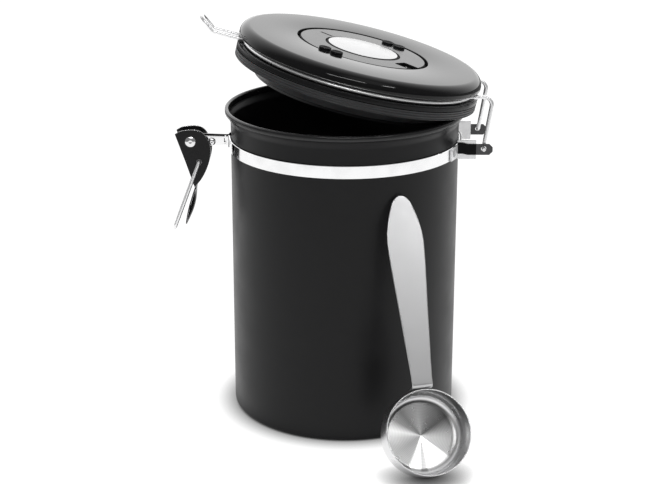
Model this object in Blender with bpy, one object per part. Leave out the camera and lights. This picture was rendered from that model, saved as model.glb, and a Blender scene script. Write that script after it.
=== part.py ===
"""A steel coffee canister with a clamp lid, a date dial and a measuring scoop.

Units are metres, +Z is up. The canister stands on z = 0 with its axis on the Z axis,
the lid hinge on the +X side, the latch on the -X side and the scoop on the -Y side.
"""

import math

import bmesh
import bpy
from mathutils import Euler, Vector

MM = 0.001
merge_distance = 0.0001 * MM

# Driving dimensions of the can
body_radius = 62.0 * MM
body_wall = 0.8 * MM
rim_height = 171.3 * MM
rim_overhang = 3.0 * MM
rim_roll = 1.0 * MM
curl_depth = 3.0 * MM
curl_edge = 0.6 * MM
flare_out = 1.6 * MM
flare_height = 4.2 * MM
base_corner = 3.1 * MM
bead_inset = 14.0 * MM
bead_half_width = 2.6 * MM
bead_rise = 0.9 * MM

# Clearances between neighbouring pieces, and how far a cutter runs past a wall
fit_gap = 0.3 * MM
lip_gap = 0.6 * MM
cut_overrun = 2.0 * MM

# Neck strap and its ears
strap_drop = 19.55 * MM
strap_width = 6.7 * MM
strap_thickness = 0.7 * MM
ear_half_gap = 2.4 * MM
ear_root_width = 4.8 * MM
ear_bend = 1.6 * MM
ear_end_radius = 3.0 * MM
ear_slot_width = 0.8 * MM
ear_slot_height = 3.4 * MM
ear_slot_reach = 2.3 * MM

# Latch
lever_reach = 21.9 * MM
lever_rise = 0.25 * MM
clamp_reach = 10.4 * MM
clamp_sink = 0.1 * MM
pin_radius = 1.2 * MM
clamp_head_radius = 2.1 * MM
clamp_head_rise = 0.6 * MM
pivot_head_radius = 2.9 * MM
pivot_head_rise = 0.55 * MM
washer_radius = 2.3 * MM
lever_thickness = 0.8 * MM
lever_half_width = 5.1 * MM
lever_front = 11.0 * MM
lever_drop = 26.0 * MM
tab_half_width = 5.0 * MM
tab_length = 22.0 * MM
tab_bulge = 2.4 * MM
tab_sway = 0.8 * MM
loop_wire = 2.0 * MM
loop_hole_forward = 4.5 * MM
loop_hole_drop = 11.3 * MM
loop_length = 40.5 * MM
loop_corner = 3.0 * MM
loop_angle = math.radians(20.7)

# Hinge
hinge_reach = 12.2 * MM
hinge_rise = 1.45 * MM
hinge_hole = 1.4 * MM
bracket_thickness = 0.8 * MM
bracket_angle = math.radians(28.0)
bracket_ear_half_gap = 20.2 * MM
bracket_ear_thickness = 1.0 * MM
bracket_ear_width = 6.0 * MM
bracket_ear_sink = 0.5 * MM
bracket_root_lift = 0.7 * MM
bracket_cheek_reach = 4.0 * MM
bracket_cheek_height = 10.4 * MM
bracket_ear_fold = 5.6 * MM
bracket_tip_reach = 4.8 * MM
bracket_tip_bevel = 1.8 * MM
bracket_window_angle = math.radians(24.4)
bracket_window_width = 3.0 * MM
bracket_window_height = 3.4 * MM

# Lid
lid_opening = math.radians(13.15)
lid_skirt = 0.8 * MM
cover_height = 7.7 * MM
cover_side = 1.3 * MM
cover_wall = 2.0 * MM
cover_round = 5.0 * MM
cover_lip = 4.4 * MM
well_radius = 36.0 * MM
well_depth = 3.2 * MM
groove_depth = 5.3 * MM
groove_gap = 0.325 * MM
flange_thickness = 2.45 * MM
hub_wall = 2.7 * MM
lid_plate = 2.0 * MM
gasket_ceiling = 2.1 * MM
gasket_drop = 2.1 * MM
gasket_cone_depth = 9.7 * MM
plug_inset = 8.3 * MM
plug_wall = 2.2 * MM
plug_lip = 1.1 * MM
bail_wire_diameter = 2.2 * MM
bail_stub = 2.6 * MM
bail_lean = 2.0 * MM
bail_rise = 28.2 * MM
bail_top_bend = 4.2 * MM
bail_bend = 3.0 * MM
nose_half_width = 4.4 * MM
nose_reach = 14.0 * MM
nose_rise = 6.2 * MM
nose_elbow = 17.8 * MM
nose_slope = 0.45 * MM

# Dial, badge and valve
dial_gap = 0.9 * MM
dial_thickness = 1.5 * MM
dial_sunk = 0.2 * MM
dial_lip = 0.4 * MM
hub_radius = 20.3 * MM
hub_lip = 2.3 * MM
badge_radius = 19.0 * MM
badge_thickness = 0.55 * MM
wheel_radius = 34.0 * MM
wheel_thickness = 0.8 * MM
window_angle = math.radians(-37.5)
window_half_width = 4.8 * MM
window_inner = 24.8 * MM
grip_angle = math.radians(55.5)
grip_place = 30.8 * MM
grip_half_gap = 3.8 * MM
grip_radius = 3.3 * MM
grip_rise = 1.1 * MM
grip_dish = 0.3 * MM
valve_boss_radius = 12.6 * MM
valve_boss_wall = 1.6 * MM
valve_boss_depth = 5.0 * MM
valve_radius = 8.5 * MM
valve_stem = 2.0 * MM
valve_rise = 1.6 * MM
vent_radius = 1.0 * MM
vent_place = 5.2 * MM
vent_count = 6
cap_wall = 1.2 * MM
cap_slot_width = 1.6 * MM
cap_slot_inner = 3.0 * MM
cap_slot_count = 6

# Scoop
scoop_radius = 22.3 * MM
scoop_depth = 18.6 * MM
scoop_corner = 5.4 * MM
scoop_wall = 0.6 * MM
scoop_turn = math.radians(13.4)
scoop_tilt = math.radians(30.35)
scoop_roll = math.radians(1.6)
handle_length = 99.0 * MM
handle_thickness = 1.2 * MM
handle_width = 19.5 * MM
handle_tab = 6.0 * MM
handle_bend = 2.0 * MM
handle_lift = math.radians(6.6)
handle_stand_off = 1.15 * MM
handle_lean_angle = math.radians(27.04)

# Numbers of facets
ring_segments = 40
small_segments = 32
pin_segments = 12

# Places that follow from the sizes above
rim_reach = body_radius + rim_overhang
bead_radius = body_radius - bead_inset
strap_height = rim_height - strap_drop
lever_height = strap_height + lever_rise
clamp_height = strap_height - clamp_sink
hinge_height = strap_height + hinge_rise
plug_radius = body_radius - plug_inset
strap_inner = body_radius + fit_gap
strap_outer = strap_inner + strap_thickness
strap_low = strap_height - strap_width / 2
strap_high = strap_height + strap_width / 2
ear_middle = ear_half_gap + strap_thickness / 2
ear_outer = ear_half_gap + strap_thickness
lever_x = -body_radius - lever_reach
clamp_x = -body_radius - clamp_reach
lever_inner = lever_half_width - lever_thickness
hinge_x = body_radius + hinge_reach
wire_radius = bail_wire_diameter / 2
loop_radius = loop_wire / 2

gasket_lip_inner = rim_reach + lip_gap
lid_radius = gasket_lip_inner + lid_skirt
groove_height = bail_wire_diameter + 2 * groove_gap
groove_floor = lid_radius - groove_depth
gasket_bottom = rim_height + fit_gap
gasket_top = gasket_bottom + gasket_ceiling
flange_bottom = gasket_top + fit_gap
flange_top = flange_bottom + flange_thickness
cover_bottom = flange_top + groove_height
lid_top = cover_bottom + cover_height
well_floor = lid_top - well_depth
groove_middle = flange_top + groove_height / 2
bail_spread = bracket_ear_half_gap - fit_gap - wire_radius
ring_radius = groove_floor + fit_gap + wire_radius


def clear_scene():
    """Remove whatever the scene holds, so the part stands alone."""
    for thing in list(bpy.data.objects):
        bpy.data.objects.remove(thing, do_unlink=True)


def material(name, colour, roughness, metallic=0.0, alpha=1.0):
    """A Principled material in one plain colour."""
    found = bpy.data.materials.new(name)
    found.use_nodes = True
    shader = found.node_tree.nodes["Principled BSDF"]
    shader.inputs["Base Color"].default_value = (*colour, 1.0)
    shader.inputs["Roughness"].default_value = roughness
    shader.inputs["Metallic"].default_value = metallic
    shader.inputs["Alpha"].default_value = alpha
    found.diffuse_color = (*colour, 1.0)
    return found


def empty(name, place, turn=(0.0, 0.0, 0.0), parent=None):
    """A joint or placing frame that carries other pieces."""
    frame = bpy.data.objects.new(name, None)
    frame.location = place
    frame.rotation_euler = turn
    frame.parent = parent
    bpy.context.scene.collection.objects.link(frame)
    return frame


def piece(name, bm, stuff, place=(0.0, 0.0, 0.0), turn=(0.0, 0.0, 0.0), parent=None):
    """Turn a bmesh into a named, smooth-shaded object."""
    bmesh.ops.recalc_face_normals(bm, faces=bm.faces)
    mesh = bpy.data.meshes.new(name)
    bm.to_mesh(mesh)
    bm.free()
    mesh.shade_smooth()
    mesh.set_sharp_from_angle(angle=math.radians(35.0))
    made = bpy.data.objects.new(name, mesh)
    made.location = place
    made.rotation_euler = turn
    made.parent = parent
    if stuff is not None:
        mesh.materials.append(stuff)
    bpy.context.scene.collection.objects.link(made)
    return made


def cutter(name, bm, target, operation="DIFFERENCE", place=(0.0, 0.0, 0.0), turn=(0.0, 0.0, 0.0)):
    """Apply a helper solid to a target with an exact Boolean, in the target's own frame."""
    made = piece(name, bm, None, place, turn, target.parent)
    made.hide_render = True
    made.display_type = "WIRE"
    cut = target.modifiers.new(name, "BOOLEAN")
    cut.operation = operation
    cut.solver = "EXACT"
    cut.object = made
    return made


def arc(centre, radius, start, end, steps):
    """Points on a circle in the plane of a profile, ends included, angles in degrees."""
    points = []
    for step in range(steps + 1):
        angle = math.radians(start + (end - start) * step / steps)
        points.append((centre[0] + radius * math.cos(angle), centre[1] + radius * math.sin(angle)))
    return points


def turned(profile, segments, axis="Z"):
    """Spin a closed profile of (radius, height) pairs once round an axis."""
    bm = bmesh.new()
    verts = []
    for radius, height in profile:
        place = (radius, 0.0, height) if axis == "Z" else (radius, height, 0.0)
        verts.append(bm.verts.new(place))
    edges = []
    for index, (radius, height) in enumerate(profile):
        after = (index + 1) % len(profile)
        if radius > 0 or profile[after][0] > 0:
            edges.append(bm.edges.new((verts[index], verts[after])))
    about = (0.0, 0.0, 1.0) if axis == "Z" else (0.0, 1.0, 0.0)
    bmesh.ops.spin(
        bm, geom=verts + edges, cent=(0.0, 0.0, 0.0), axis=about,
        angle=2 * math.pi, steps=segments, use_merge=True,
    )
    bmesh.ops.remove_doubles(bm, verts=bm.verts, dist=merge_distance)
    return bm


def prism(outline, low, high, axis="Z"):
    """Extrude a closed outline from low to high along Z, or along Y for an (x, z) outline."""
    bm = bmesh.new()
    ends = []
    for level in (low, high):
        if axis == "Z":
            ends.append([bm.verts.new((a, b, level)) for a, b in outline])
        else:
            ends.append([bm.verts.new((a, level, b)) for a, b in outline])
    bm.faces.new(ends[0])
    bm.faces.new(ends[1])
    for index in range(len(outline)):
        after = (index + 1) % len(outline)
        bm.faces.new((ends[0][index], ends[0][after], ends[1][after], ends[1][index]))
    return bm


def loft(rings, closed=False):
    """Join rings of points into one solid, with a cap at each end unless it closes on itself."""
    bm = bmesh.new()
    made = [[bm.verts.new(point) for point in ring] for ring in rings]
    pairs = list(zip(made, made[1:]))
    if closed:
        pairs.append((made[-1], made[0]))
    else:
        bm.faces.new(made[0])
        bm.faces.new(made[-1])
    for first, second in pairs:
        for index in range(len(first)):
            after = (index + 1) % len(first)
            bm.faces.new((first[index], first[after], second[after], second[index]))
    return bm


def strip(path, spans, thickness):
    """A sheet standing on edge along a path in plan, with a lower and upper edge at each point."""
    rings = []
    for index, point in enumerate(path):
        before = path[max(index - 1, 0)]
        after = path[min(index + 1, len(path) - 1)]
        along = (after - before).normalized()
        side = Vector((-along.y, along.x, 0.0)) * thickness / 2
        low, high = spans[index]
        rings.append([
            (point.x - side.x, point.y - side.y, low),
            (point.x + side.x, point.y + side.y, low),
            (point.x + side.x, point.y + side.y, high),
            (point.x - side.x, point.y - side.y, high),
        ])
    return loft(rings)


def filleted(points, radii, steps=4):
    """Replace the corners of a path by arcs of the given radii; a radius of 0 keeps the corner."""
    path = [points[0]]
    for index in range(1, len(points) - 1):
        corner = points[index]
        radius = radii[index]
        back = (points[index - 1] - corner).normalized()
        ahead = (points[index + 1] - corner).normalized()
        angle = back.angle(ahead)
        if radius == 0 or angle > math.radians(177.0):
            path.append(corner)
            continue
        reach = radius / math.tan(angle / 2)
        centre = corner + (back + ahead).normalized() * radius / math.sin(angle / 2)
        start = corner + back * reach - centre
        end = corner + ahead * reach - centre
        for step in range(steps + 1):
            path.append(centre + start.slerp(end, step / steps).normalized() * radius)
    path.append(points[-1])
    return path


def wire(name, path, radius, stuff, parent=None, place=(0.0, 0.0, 0.0), turn=(0.0, 0.0, 0.0)):
    """A round wire with capped ends along a path."""
    curve = bpy.data.curves.new(name, "CURVE")
    curve.dimensions = "3D"
    curve.bevel_depth = radius
    curve.bevel_resolution = 2
    curve.use_fill_caps = True
    spline = curve.splines.new("POLY")
    spline.points.add(len(path) - 1)
    for held, point in zip(spline.points, path):
        held.co = (*point, 1.0)
    curve.materials.append(stuff)
    made = bpy.data.objects.new(name, curve)
    made.location = place
    made.rotation_euler = turn
    made.parent = parent
    bpy.context.scene.collection.objects.link(made)
    return made


clear_scene()

bright_steel = material("bright_steel", (0.78, 0.78, 0.79), 0.12, 1.0)
satin_steel = material("satin_steel", (0.62, 0.62, 0.63), 0.28, 1.0)
black_paint = material("black_paint", (0.02, 0.02, 0.022), 0.25)
black_metal = material("black_metal", (0.03, 0.03, 0.032), 0.35, 0.6)
black_plastic = material("black_plastic", (0.025, 0.025, 0.027), 0.3)
smoke_silicone = material("smoke_silicone", (0.2, 0.2, 0.21), 0.4)
white_plastic = material("white_plastic", (0.85, 0.85, 0.85), 0.45)
pale_silicone = material("pale_silicone", (0.7, 0.7, 0.68), 0.5)

lid_pivot = empty("lid_pivot", (hinge_x, 0.0, hinge_height), (0.0, lid_opening, 0.0))
lever_pivot = empty("lever_pivot", (lever_x, 0.0, lever_height))
loop_pivot = empty(
    "loop_pivot", (loop_hole_forward, 0.0, -loop_hole_drop), (0.0, loop_angle, 0.0), lever_pivot
)
in_lid = (-hinge_x, 0.0, -hinge_height)

# The can: a drawn wall with a flared neck, a rolled rim and a pressed bead in the flat base.
roll_centre = (rim_reach - rim_roll, rim_height - rim_roll)
curl_bottom = rim_height - curl_depth
flare_bottom = curl_bottom - curl_edge - flare_height
flare_shares = [(1.0, 1.0), (0.5, 0.55), (0.12, 0.18), (0.0, 0.0)]
flare = [
    (body_radius + flare_out * out_share, flare_bottom + flare_height * up_share)
    for out_share, up_share in flare_shares
]
corner_centre = (body_radius - base_corner, base_corner)
bead_slope = 2 * bead_rise
bead = [
    (bead_radius + bead_half_width, 0.0),
    (bead_radius + bead_half_width - bead_slope, bead_rise),
    (bead_radius - bead_half_width + bead_slope, bead_rise),
    (bead_radius - bead_half_width, 0.0),
]
can_profile = arc(roll_centre, rim_roll, 180, 0, 6)
can_profile += [(rim_reach, curl_bottom + curl_edge), (rim_reach - curl_edge, curl_bottom)]
can_profile += flare
can_profile += arc(corner_centre, base_corner, 0, -90, 3)
can_profile += bead
can_profile += [(0.0, 0.0), (0.0, body_wall)]
can_profile += [(radius, height + body_wall) for radius, height in reversed(bead)]
can_profile += arc(corner_centre, base_corner - body_wall, -90, 0, 3)
can_profile += [(radius - body_wall, height) for radius, height in reversed(flare)]
canister_body = piece("canister_body", turned(can_profile, ring_segments), black_paint)

# The neck strap: one steel band whose ends fold out into two parallel ears.
strap_middle = strap_inner + strap_thickness / 2
ear_start = Vector((lever_x, ear_middle, 0.0))
ear_root = Vector((-math.sqrt(strap_middle**2 - ear_middle**2), ear_middle, 0.0))
ear_tip = [
    Vector((lever_x - ear_end_radius * math.sin(math.radians(angle)), ear_middle, 0.0))
    for angle in (75, 50, 25)
]
band_start = math.pi - math.asin(ear_middle / strap_middle)
band_ease = 2 * ear_bend / strap_middle
band = []
for step in range(ring_segments + 1):
    angle = (band_start - band_ease) * (1 - 2 * step / ring_segments)
    band.append(Vector((strap_middle * math.cos(angle), strap_middle * math.sin(angle), 0.0)))
fold_radii = [0.0, ear_bend, 0.0]
first_fold = filleted([ear_start, ear_root, band[0]], fold_radii, 3)
strap_path = ear_tip + first_fold + band[1:]
last_fold = [Vector((point.x, -point.y, 0.0)) for point in reversed(ear_tip + first_fold)]
strap_path = strap_path[:-1] + last_fold
bend_x = ear_root.x - ear_bend
strap_spans = []
for point in strap_path:
    if point.x < lever_x:
        half = math.sqrt(max(ear_end_radius**2 - (lever_x - point.x) ** 2, 0.0))
        strap_spans.append((lever_height - half, lever_height + half))
    elif point.x < lever_x + ear_end_radius / 2:
        strap_spans.append((lever_height - ear_end_radius, lever_height + ear_end_radius))
    elif point.x < bend_x + ear_bend / 2 and abs(point.y) < 2 * ear_outer:
        strap_spans.append((lever_height - ear_root_width / 2, lever_height + ear_root_width / 2))
    else:
        strap_spans.append((strap_low, strap_high))
neck_strap = piece("neck_strap", strip(strap_path, strap_spans, strap_thickness), satin_steel)
ear_span = ear_outer + cut_overrun
hole_radius = pin_radius + fit_gap
for name, x, z in (("pivot_hole", lever_x, lever_height), ("clamp_hole", clamp_x, clamp_height)):
    cutter(
        name, turned([(0.0, ear_span), (hole_radius, ear_span), (hole_radius, -ear_span), (0.0, -ear_span)],
                     pin_segments, "Y"),
        neck_strap, place=(x, 0.0, z),
    )
slot_x = bend_x - ear_slot_reach + ear_slot_width
slot_low = lever_height - ear_slot_height / 2
slot_high = lever_height + ear_slot_height / 2
slot_outline = [
    (slot_x, slot_low), (slot_x + ear_slot_width, slot_low),
    (slot_x + ear_slot_width, slot_high), (slot_x, slot_high),
]
cutter("ear_slots", prism(slot_outline, -ear_span, ear_span, "Y"), neck_strap)


def rivet(name, shank, collar, collar_end, head_start, head_radius, head_rise, place, stuff):
    """A pin along Y with a domed head at each end and a thicker middle between the ears."""
    half = [(0.0, head_start + head_rise)]
    half += [(head_radius * share, head_start + head_rise * (1 - share**2)) for share in (0.4, 0.75)]
    half += [(head_radius, head_start), (shank, head_start)]
    half += [(shank, collar_end), (collar, collar_end)]
    mirrored = [(radius, -height) for radius, height in reversed(half)]
    return piece(name, turned(half + mirrored, pin_segments, "Y"), stuff, place)


# The clamp rivet draws the ears together over a spacer collar.
clamp_rivet = rivet(
    "clamp_rivet", pin_radius, pin_radius + hole_radius / 2, ear_half_gap - fit_gap,
    ear_outer + fit_gap, clamp_head_radius, clamp_head_rise, (clamp_x, 0.0, clamp_height), bright_steel,
)

# The pivot pin that the lever turns on, with a washer between each ear and lever plate.
lever_pivot_rivet = rivet(
    "lever_pivot_rivet", pin_radius, pin_radius + hole_radius / 2, ear_half_gap - fit_gap,
    lever_half_width + fit_gap, pivot_head_radius, pivot_head_rise,
    (lever_x, 0.0, lever_height), bright_steel,
)
washer_low = ear_outer + fit_gap / 2
washer_high = lever_inner - fit_gap / 2
for name, side in (("pivot_washer_front", -1), ("pivot_washer_rear", 1)):
    ring = [
        (hole_radius, side * washer_low), (washer_radius, side * washer_low),
        (washer_radius, side * washer_high), (hole_radius, side * washer_high),
    ]
    piece(name, turned(ring, pin_segments, "Y"), satin_steel, (lever_x, 0.0, lever_height))

# The latch lever: two pressed side plates, the web that joins them and the spoon-shaped tab.
plate_shares = [
    (-0.77, 0.157), (-0.54, 0.215), (-0.26, 0.243), (0.173, 0.253), (0.49, 0.224), (0.71, 0.147),
    (0.88, 0.02), (0.97, -0.09), (1.0, -0.2), (0.97, -0.33), (0.88, -0.48), (0.75, -0.624),
    (0.6, -0.75), (0.43, -0.86), (0.15, -1.0), (-0.07, -0.714), (-0.26, -0.465),
]
plate_outline = [(lever_front * x_share, lever_drop * z_share) for x_share, z_share in plate_shares]
latch_lever = piece(
    "latch_lever", prism(plate_outline, lever_inner, lever_half_width, "Y"), black_metal,
    parent=lever_pivot,
)
cutter("rear_plate", prism(plate_outline, -lever_half_width, -lever_inner, "Y"), latch_lever, "UNION")
web_top_shares = (-0.52, 0.02)
web_bottom_shares = (0.15, -1.0)
tab_end_share = -0.4
tab_narrowing_share = 0.12
web_top = Vector((lever_front * web_top_shares[0], 0.0, lever_drop * web_top_shares[1]))
web_bottom = Vector((lever_front * web_bottom_shares[0], 0.0, lever_drop * web_bottom_shares[1]))
web_line = (web_bottom - web_top).normalized()
web_inward = Vector((-web_line.z, 0.0, web_line.x))
web_half = lever_half_width - lever_thickness / 2
tab_end = Vector((lever_front * tab_end_share, 0.0, -lever_drop - tab_length))
tab_points = 7
tab_rings = []
for level, start in ((0.0, web_top), (1.0, web_bottom)):
    tab_rings.append((start, web_half, 0.0))
for step in range(1, tab_points + 1):
    along = step / tab_points
    place = web_bottom.lerp(tab_end, along) - Vector((tab_sway * math.sin(math.pi * along), 0.0, 0.0))
    width = tab_half_width * (1 - tab_narrowing_share * along**4)
    tab_rings.append((place, width, tab_bulge * math.sin(math.pi * along)))
sheet = []
for place, width, bulge in tab_rings:
    row = []
    for share in (-1.0, -0.6, 0.0, 0.6, 1.0):
        row.append((place.x + bulge * (1 - share**2) + fit_gap, width * share, place.z))
    for share in (1.0, 0.6, 0.0, -0.6, -1.0):
        inner = place.x + bulge * (1 - share**2) + fit_gap + lever_thickness
        row.append((inner, width * share, place.z))
    sheet.append(row)
cutter("web_and_tab", loft(sheet), latch_lever, "UNION")
lever_span = lever_half_width + cut_overrun
loop_hole = loop_radius + fit_gap
for name, x, z, radius in (
    ("lever_bore", 0.0, 0.0, hole_radius), ("loop_bore", loop_hole_forward, -loop_hole_drop, loop_hole),
):
    cutter(
        name, turned([(0.0, lever_span), (radius, lever_span), (radius, -lever_span), (0.0, -lever_span)],
                     pin_segments, "Y"),
        latch_lever, place=(x, 0.0, z),
    )

# The latch loop: a wire frame whose ends turn in through the lever plates.
loop_half = lever_half_width + pivot_head_rise + fit_gap + loop_radius
loop_half += fit_gap
loop_end = lever_inner - 2 * fit_gap
loop_path = filleted(
    [
        Vector((0.0, -loop_end, 0.0)), Vector((0.0, -loop_half, 0.0)),
        Vector((0.0, -loop_half, -loop_length)), Vector((0.0, loop_half, -loop_length)),
        Vector((0.0, loop_half, 0.0)), Vector((0.0, loop_end, 0.0)),
    ],
    [0.0, loop_wire / 2, loop_corner, loop_corner, loop_wire / 2, 0.0],
)
wire("latch_loop", loop_path, loop_radius, bright_steel, loop_pivot)

# The hinge bracket: a curved plate behind the strap with a window at each end, and at each side a
# tall cheek with a longer bored ear on its outside.
plate_inner = strap_outer + fit_gap
plate_middle = plate_inner + bracket_thickness / 2
plate_outer = plate_inner + bracket_thickness
plate_steps = 14
plate_path = []
for step in range(plate_steps + 1):
    angle = bracket_angle * (2 * step / plate_steps - 1)
    plate_path.append(Vector((plate_middle * math.cos(angle), plate_middle * math.sin(angle), 0.0)))
plate_spans = [(strap_low, strap_high)] * len(plate_path)
hinge_bracket = piece("hinge_bracket", strip(plate_path, plate_spans, bracket_thickness), satin_steel)
hinge_ear_low = hinge_height - bracket_ear_sink - bracket_ear_width / 2
hinge_ear_high = hinge_ear_low + bracket_ear_width
cheek_span = (strap_height - bracket_cheek_height / 2 + bracket_root_lift,
              strap_height + bracket_cheek_height / 2 + bracket_root_lift)
hinge_ear_tip = hinge_x + bracket_tip_reach
hinge_ear_middle = bracket_ear_half_gap + bracket_ear_thickness / 2
root_x = math.sqrt(plate_middle**2 - hinge_ear_middle**2)
root_flare = fit_gap
cheek_middle = bracket_ear_half_gap - bracket_ear_thickness / 2 + root_flare + fit_gap / 2
cheek_end = hinge_x - bracket_cheek_reach
for name, side in (("front_hinge_ear", -1), ("rear_hinge_ear", 1)):
    ear_path = [
        Vector((root_x, side * (hinge_ear_middle + root_flare), 0.0)),
        Vector((root_x + bracket_ear_fold / 2, side * (hinge_ear_middle + root_flare), 0.0)),
        Vector((root_x + bracket_ear_fold, side * hinge_ear_middle, 0.0)),
        Vector((hinge_ear_tip - bracket_tip_bevel, side * hinge_ear_middle, 0.0)),
        Vector((hinge_ear_tip, side * hinge_ear_middle, 0.0)),
    ]
    ear_spans = [
        (hinge_ear_low + bracket_root_lift, hinge_ear_high + bracket_root_lift),
        (hinge_ear_low + bracket_root_lift, hinge_ear_high + bracket_root_lift),
        (hinge_ear_low, hinge_ear_high), (hinge_ear_low, hinge_ear_high),
        (hinge_ear_low + bracket_tip_bevel, hinge_ear_high - bracket_tip_bevel),
    ]
    cutter(name, strip(ear_path, ear_spans, bracket_ear_thickness), hinge_bracket, "UNION")
    cheek_path = [Vector((root_x, side * cheek_middle, 0.0)), Vector((cheek_end, side * cheek_middle, 0.0))]
    cutter(
        name.replace("ear", "cheek"), strip(cheek_path, [cheek_span] * 2, bracket_ear_thickness),
        hinge_bracket, "UNION",
    )
ear_cut_inner = bracket_ear_half_gap - cut_overrun
ear_cut_outer = bracket_ear_half_gap + bracket_ear_thickness + cut_overrun
for name, side in (("front_hinge_bore", -1), ("rear_hinge_bore", 1)):
    low, high = side * ear_cut_inner, side * ear_cut_outer
    cutter(
        name, turned([(0.0, low), (hinge_hole, low), (hinge_hole, high), (0.0, high)],
                     pin_segments, "Y"),
        hinge_bracket, place=(hinge_x, 0.0, hinge_height),
    )
window_low = strap_height - bracket_window_height / 2
window_high = strap_height + bracket_window_height / 2
window_outline = [
    (plate_inner - cut_overrun, -bracket_window_width / 2),
    (plate_outer + cut_overrun, -bracket_window_width / 2),
    (plate_outer + cut_overrun, bracket_window_width / 2),
    (plate_inner - cut_overrun, bracket_window_width / 2),
]
for name, side in (("front_root_window", -1), ("rear_root_window", 1)):
    cutter(
        name, prism(window_outline, window_low, window_high), hinge_bracket,
        turn=(0.0, 0.0, side * bracket_window_angle),
    )

# The lid cover: a glossy shell with a rounded shoulder, a turned-in skirt and the dial well.
cover_radius = lid_radius + fit_gap / 3
side_low = cover_bottom + cover_side + fit_gap / 2
round_centre = (cover_radius - cover_round, lid_top - cover_round)
locating_wall = groove_floor - hub_wall
cover_profile = [(0.0, well_floor), (well_radius, well_floor), (well_radius, lid_top - dial_sunk)]
cover_profile += [(well_radius + dial_sunk, lid_top)]
cover_profile += arc(round_centre, cover_round, 90, 0, 6)
cover_profile += [
    (cover_radius, side_low), (cover_radius - dial_sunk, cover_bottom + cover_side),
    (cover_radius - cover_round / 3, cover_bottom + cover_side / 3),
    (cover_radius - cover_lip, cover_bottom), (locating_wall, cover_bottom),
    (locating_wall, lid_top - cover_round), (locating_wall - cover_wall, lid_top - cover_wall),
    (well_radius + cover_wall, lid_top - cover_wall),
    (well_radius + cover_wall, well_floor - cover_wall), (0.0, well_floor - cover_wall),
]
lid_cover = piece(
    "lid_cover", turned(cover_profile, ring_segments), black_plastic, in_lid, parent=lid_pivot
)

# The lid base: hub in the bail groove, flange, plug wall with its lip, and the valve boss.
plug_bottom = gasket_top - gasket_cone_depth - fit_gap
plug_lip_height = body_wall + plug_lip / 2
boss_bottom = flange_bottom - valve_boss_depth
base_profile = [
    (groove_floor, cover_bottom - fit_gap), (groove_floor, flange_top),
    (lid_radius - fit_gap, flange_top), (lid_radius, flange_top - fit_gap),
    (lid_radius, flange_bottom), (plug_radius, flange_bottom), (plug_radius, plug_bottom),
    (plug_radius + plug_lip, plug_bottom), (plug_radius + plug_lip / 2, plug_bottom - plug_lip_height),
    (plug_radius - plug_wall, plug_bottom - plug_lip_height), (plug_radius - plug_wall, flange_bottom),
    (valve_boss_radius, flange_bottom), (valve_boss_radius, boss_bottom),
    (valve_boss_radius - valve_boss_wall, boss_bottom),
    (valve_boss_radius - valve_boss_wall, flange_bottom),
    (valve_stem + fit_gap, flange_bottom), (valve_stem + fit_gap, flange_bottom + lid_plate),
    (locating_wall, flange_bottom + lid_plate), (locating_wall, cover_bottom - fit_gap),
]
lid_base = piece(
    "lid_base", turned(base_profile, ring_segments), black_plastic, in_lid, parent=lid_pivot
)
vent_low = flange_bottom - cut_overrun
vent_high = flange_bottom + lid_plate + cut_overrun
for index in range(vent_count):
    angle = 2 * math.pi * index / vent_count
    vent = turned([(0.0, vent_high), (vent_radius, vent_high), (vent_radius, vent_low), (0.0, vent_low)], 8)
    place = (
        in_lid[0] + vent_place * math.cos(angle), vent_place * math.sin(angle), in_lid[2]
    )
    cutter("vent_" + str(index + 1), vent, lid_base, place=place)

# The gasket: a band round the plug with a lip outside the rim. Inside the mouth it is turned to
# an arc about the hinge axis, so that it clears the rim as the lid swings.
skirt_bottom = gasket_bottom - gasket_drop
cone_bottom = gasket_top - gasket_cone_depth
swing_radius = math.hypot(hinge_x - rim_reach + 2 * rim_roll, rim_height - hinge_height) + lip_gap
cone = []
for share in (0.0, 0.35, 0.7, 1.0):
    height = gasket_bottom + (cone_bottom - gasket_bottom) * share
    cone.append((hinge_x - math.sqrt(swing_radius**2 - (height - hinge_height) ** 2), height))
gasket_profile = [
    (lid_radius, gasket_top), (lid_radius, skirt_bottom + fit_gap),
    (lid_radius - fit_gap, skirt_bottom), (gasket_lip_inner + fit_gap, skirt_bottom),
    (gasket_lip_inner, skirt_bottom + fit_gap), (gasket_lip_inner, gasket_bottom),
]
gasket_profile += cone
gasket_profile += [(plug_radius + fit_gap, cone_bottom), (plug_radius + fit_gap, gasket_top)]
lid_gasket = piece(
    "lid_gasket", turned(gasket_profile, ring_segments), smoke_silicone, in_lid, parent=lid_pivot
)

# The bail: one wire from the hinge eyes up and round the groove to the nose that the loop hooks.
junction_angle = math.asin(bail_spread / ring_radius)
nose_angle = math.pi - math.asin(nose_half_width / ring_radius)
bend_share = 1.15
nose_run_share = 1.7
groove_ease = bend_share * bail_bend / ring_radius
arm_top = Vector((hinge_x - bail_lean, -bail_spread, hinge_height + bail_rise))
junction = Vector((ring_radius * math.cos(junction_angle), -bail_spread, groove_middle))
nose_corner = Vector((-math.sqrt(ring_radius**2 - nose_half_width**2), -nose_half_width, groove_middle))
elbow_x = -ring_radius - nose_elbow
elbow = Vector((elbow_x, -nose_half_width, groove_middle + nose_slope))
nose_tip_x = elbow_x - nose_half_width * nose_run_share
nose_tip = Vector((nose_tip_x, -nose_half_width, elbow.z + nose_rise))
stub_end = bracket_ear_half_gap + bracket_ear_thickness + bail_stub
groove_steps = 24
groove_arc = []
arc_start = junction_angle + groove_ease
arc_end = nose_angle - groove_ease
for step in range(groove_steps + 1):
    angle = arc_start + (arc_end - arc_start) * step / groove_steps
    groove_arc.append(Vector((ring_radius * math.cos(angle), -ring_radius * math.sin(angle), groove_middle)))
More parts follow.
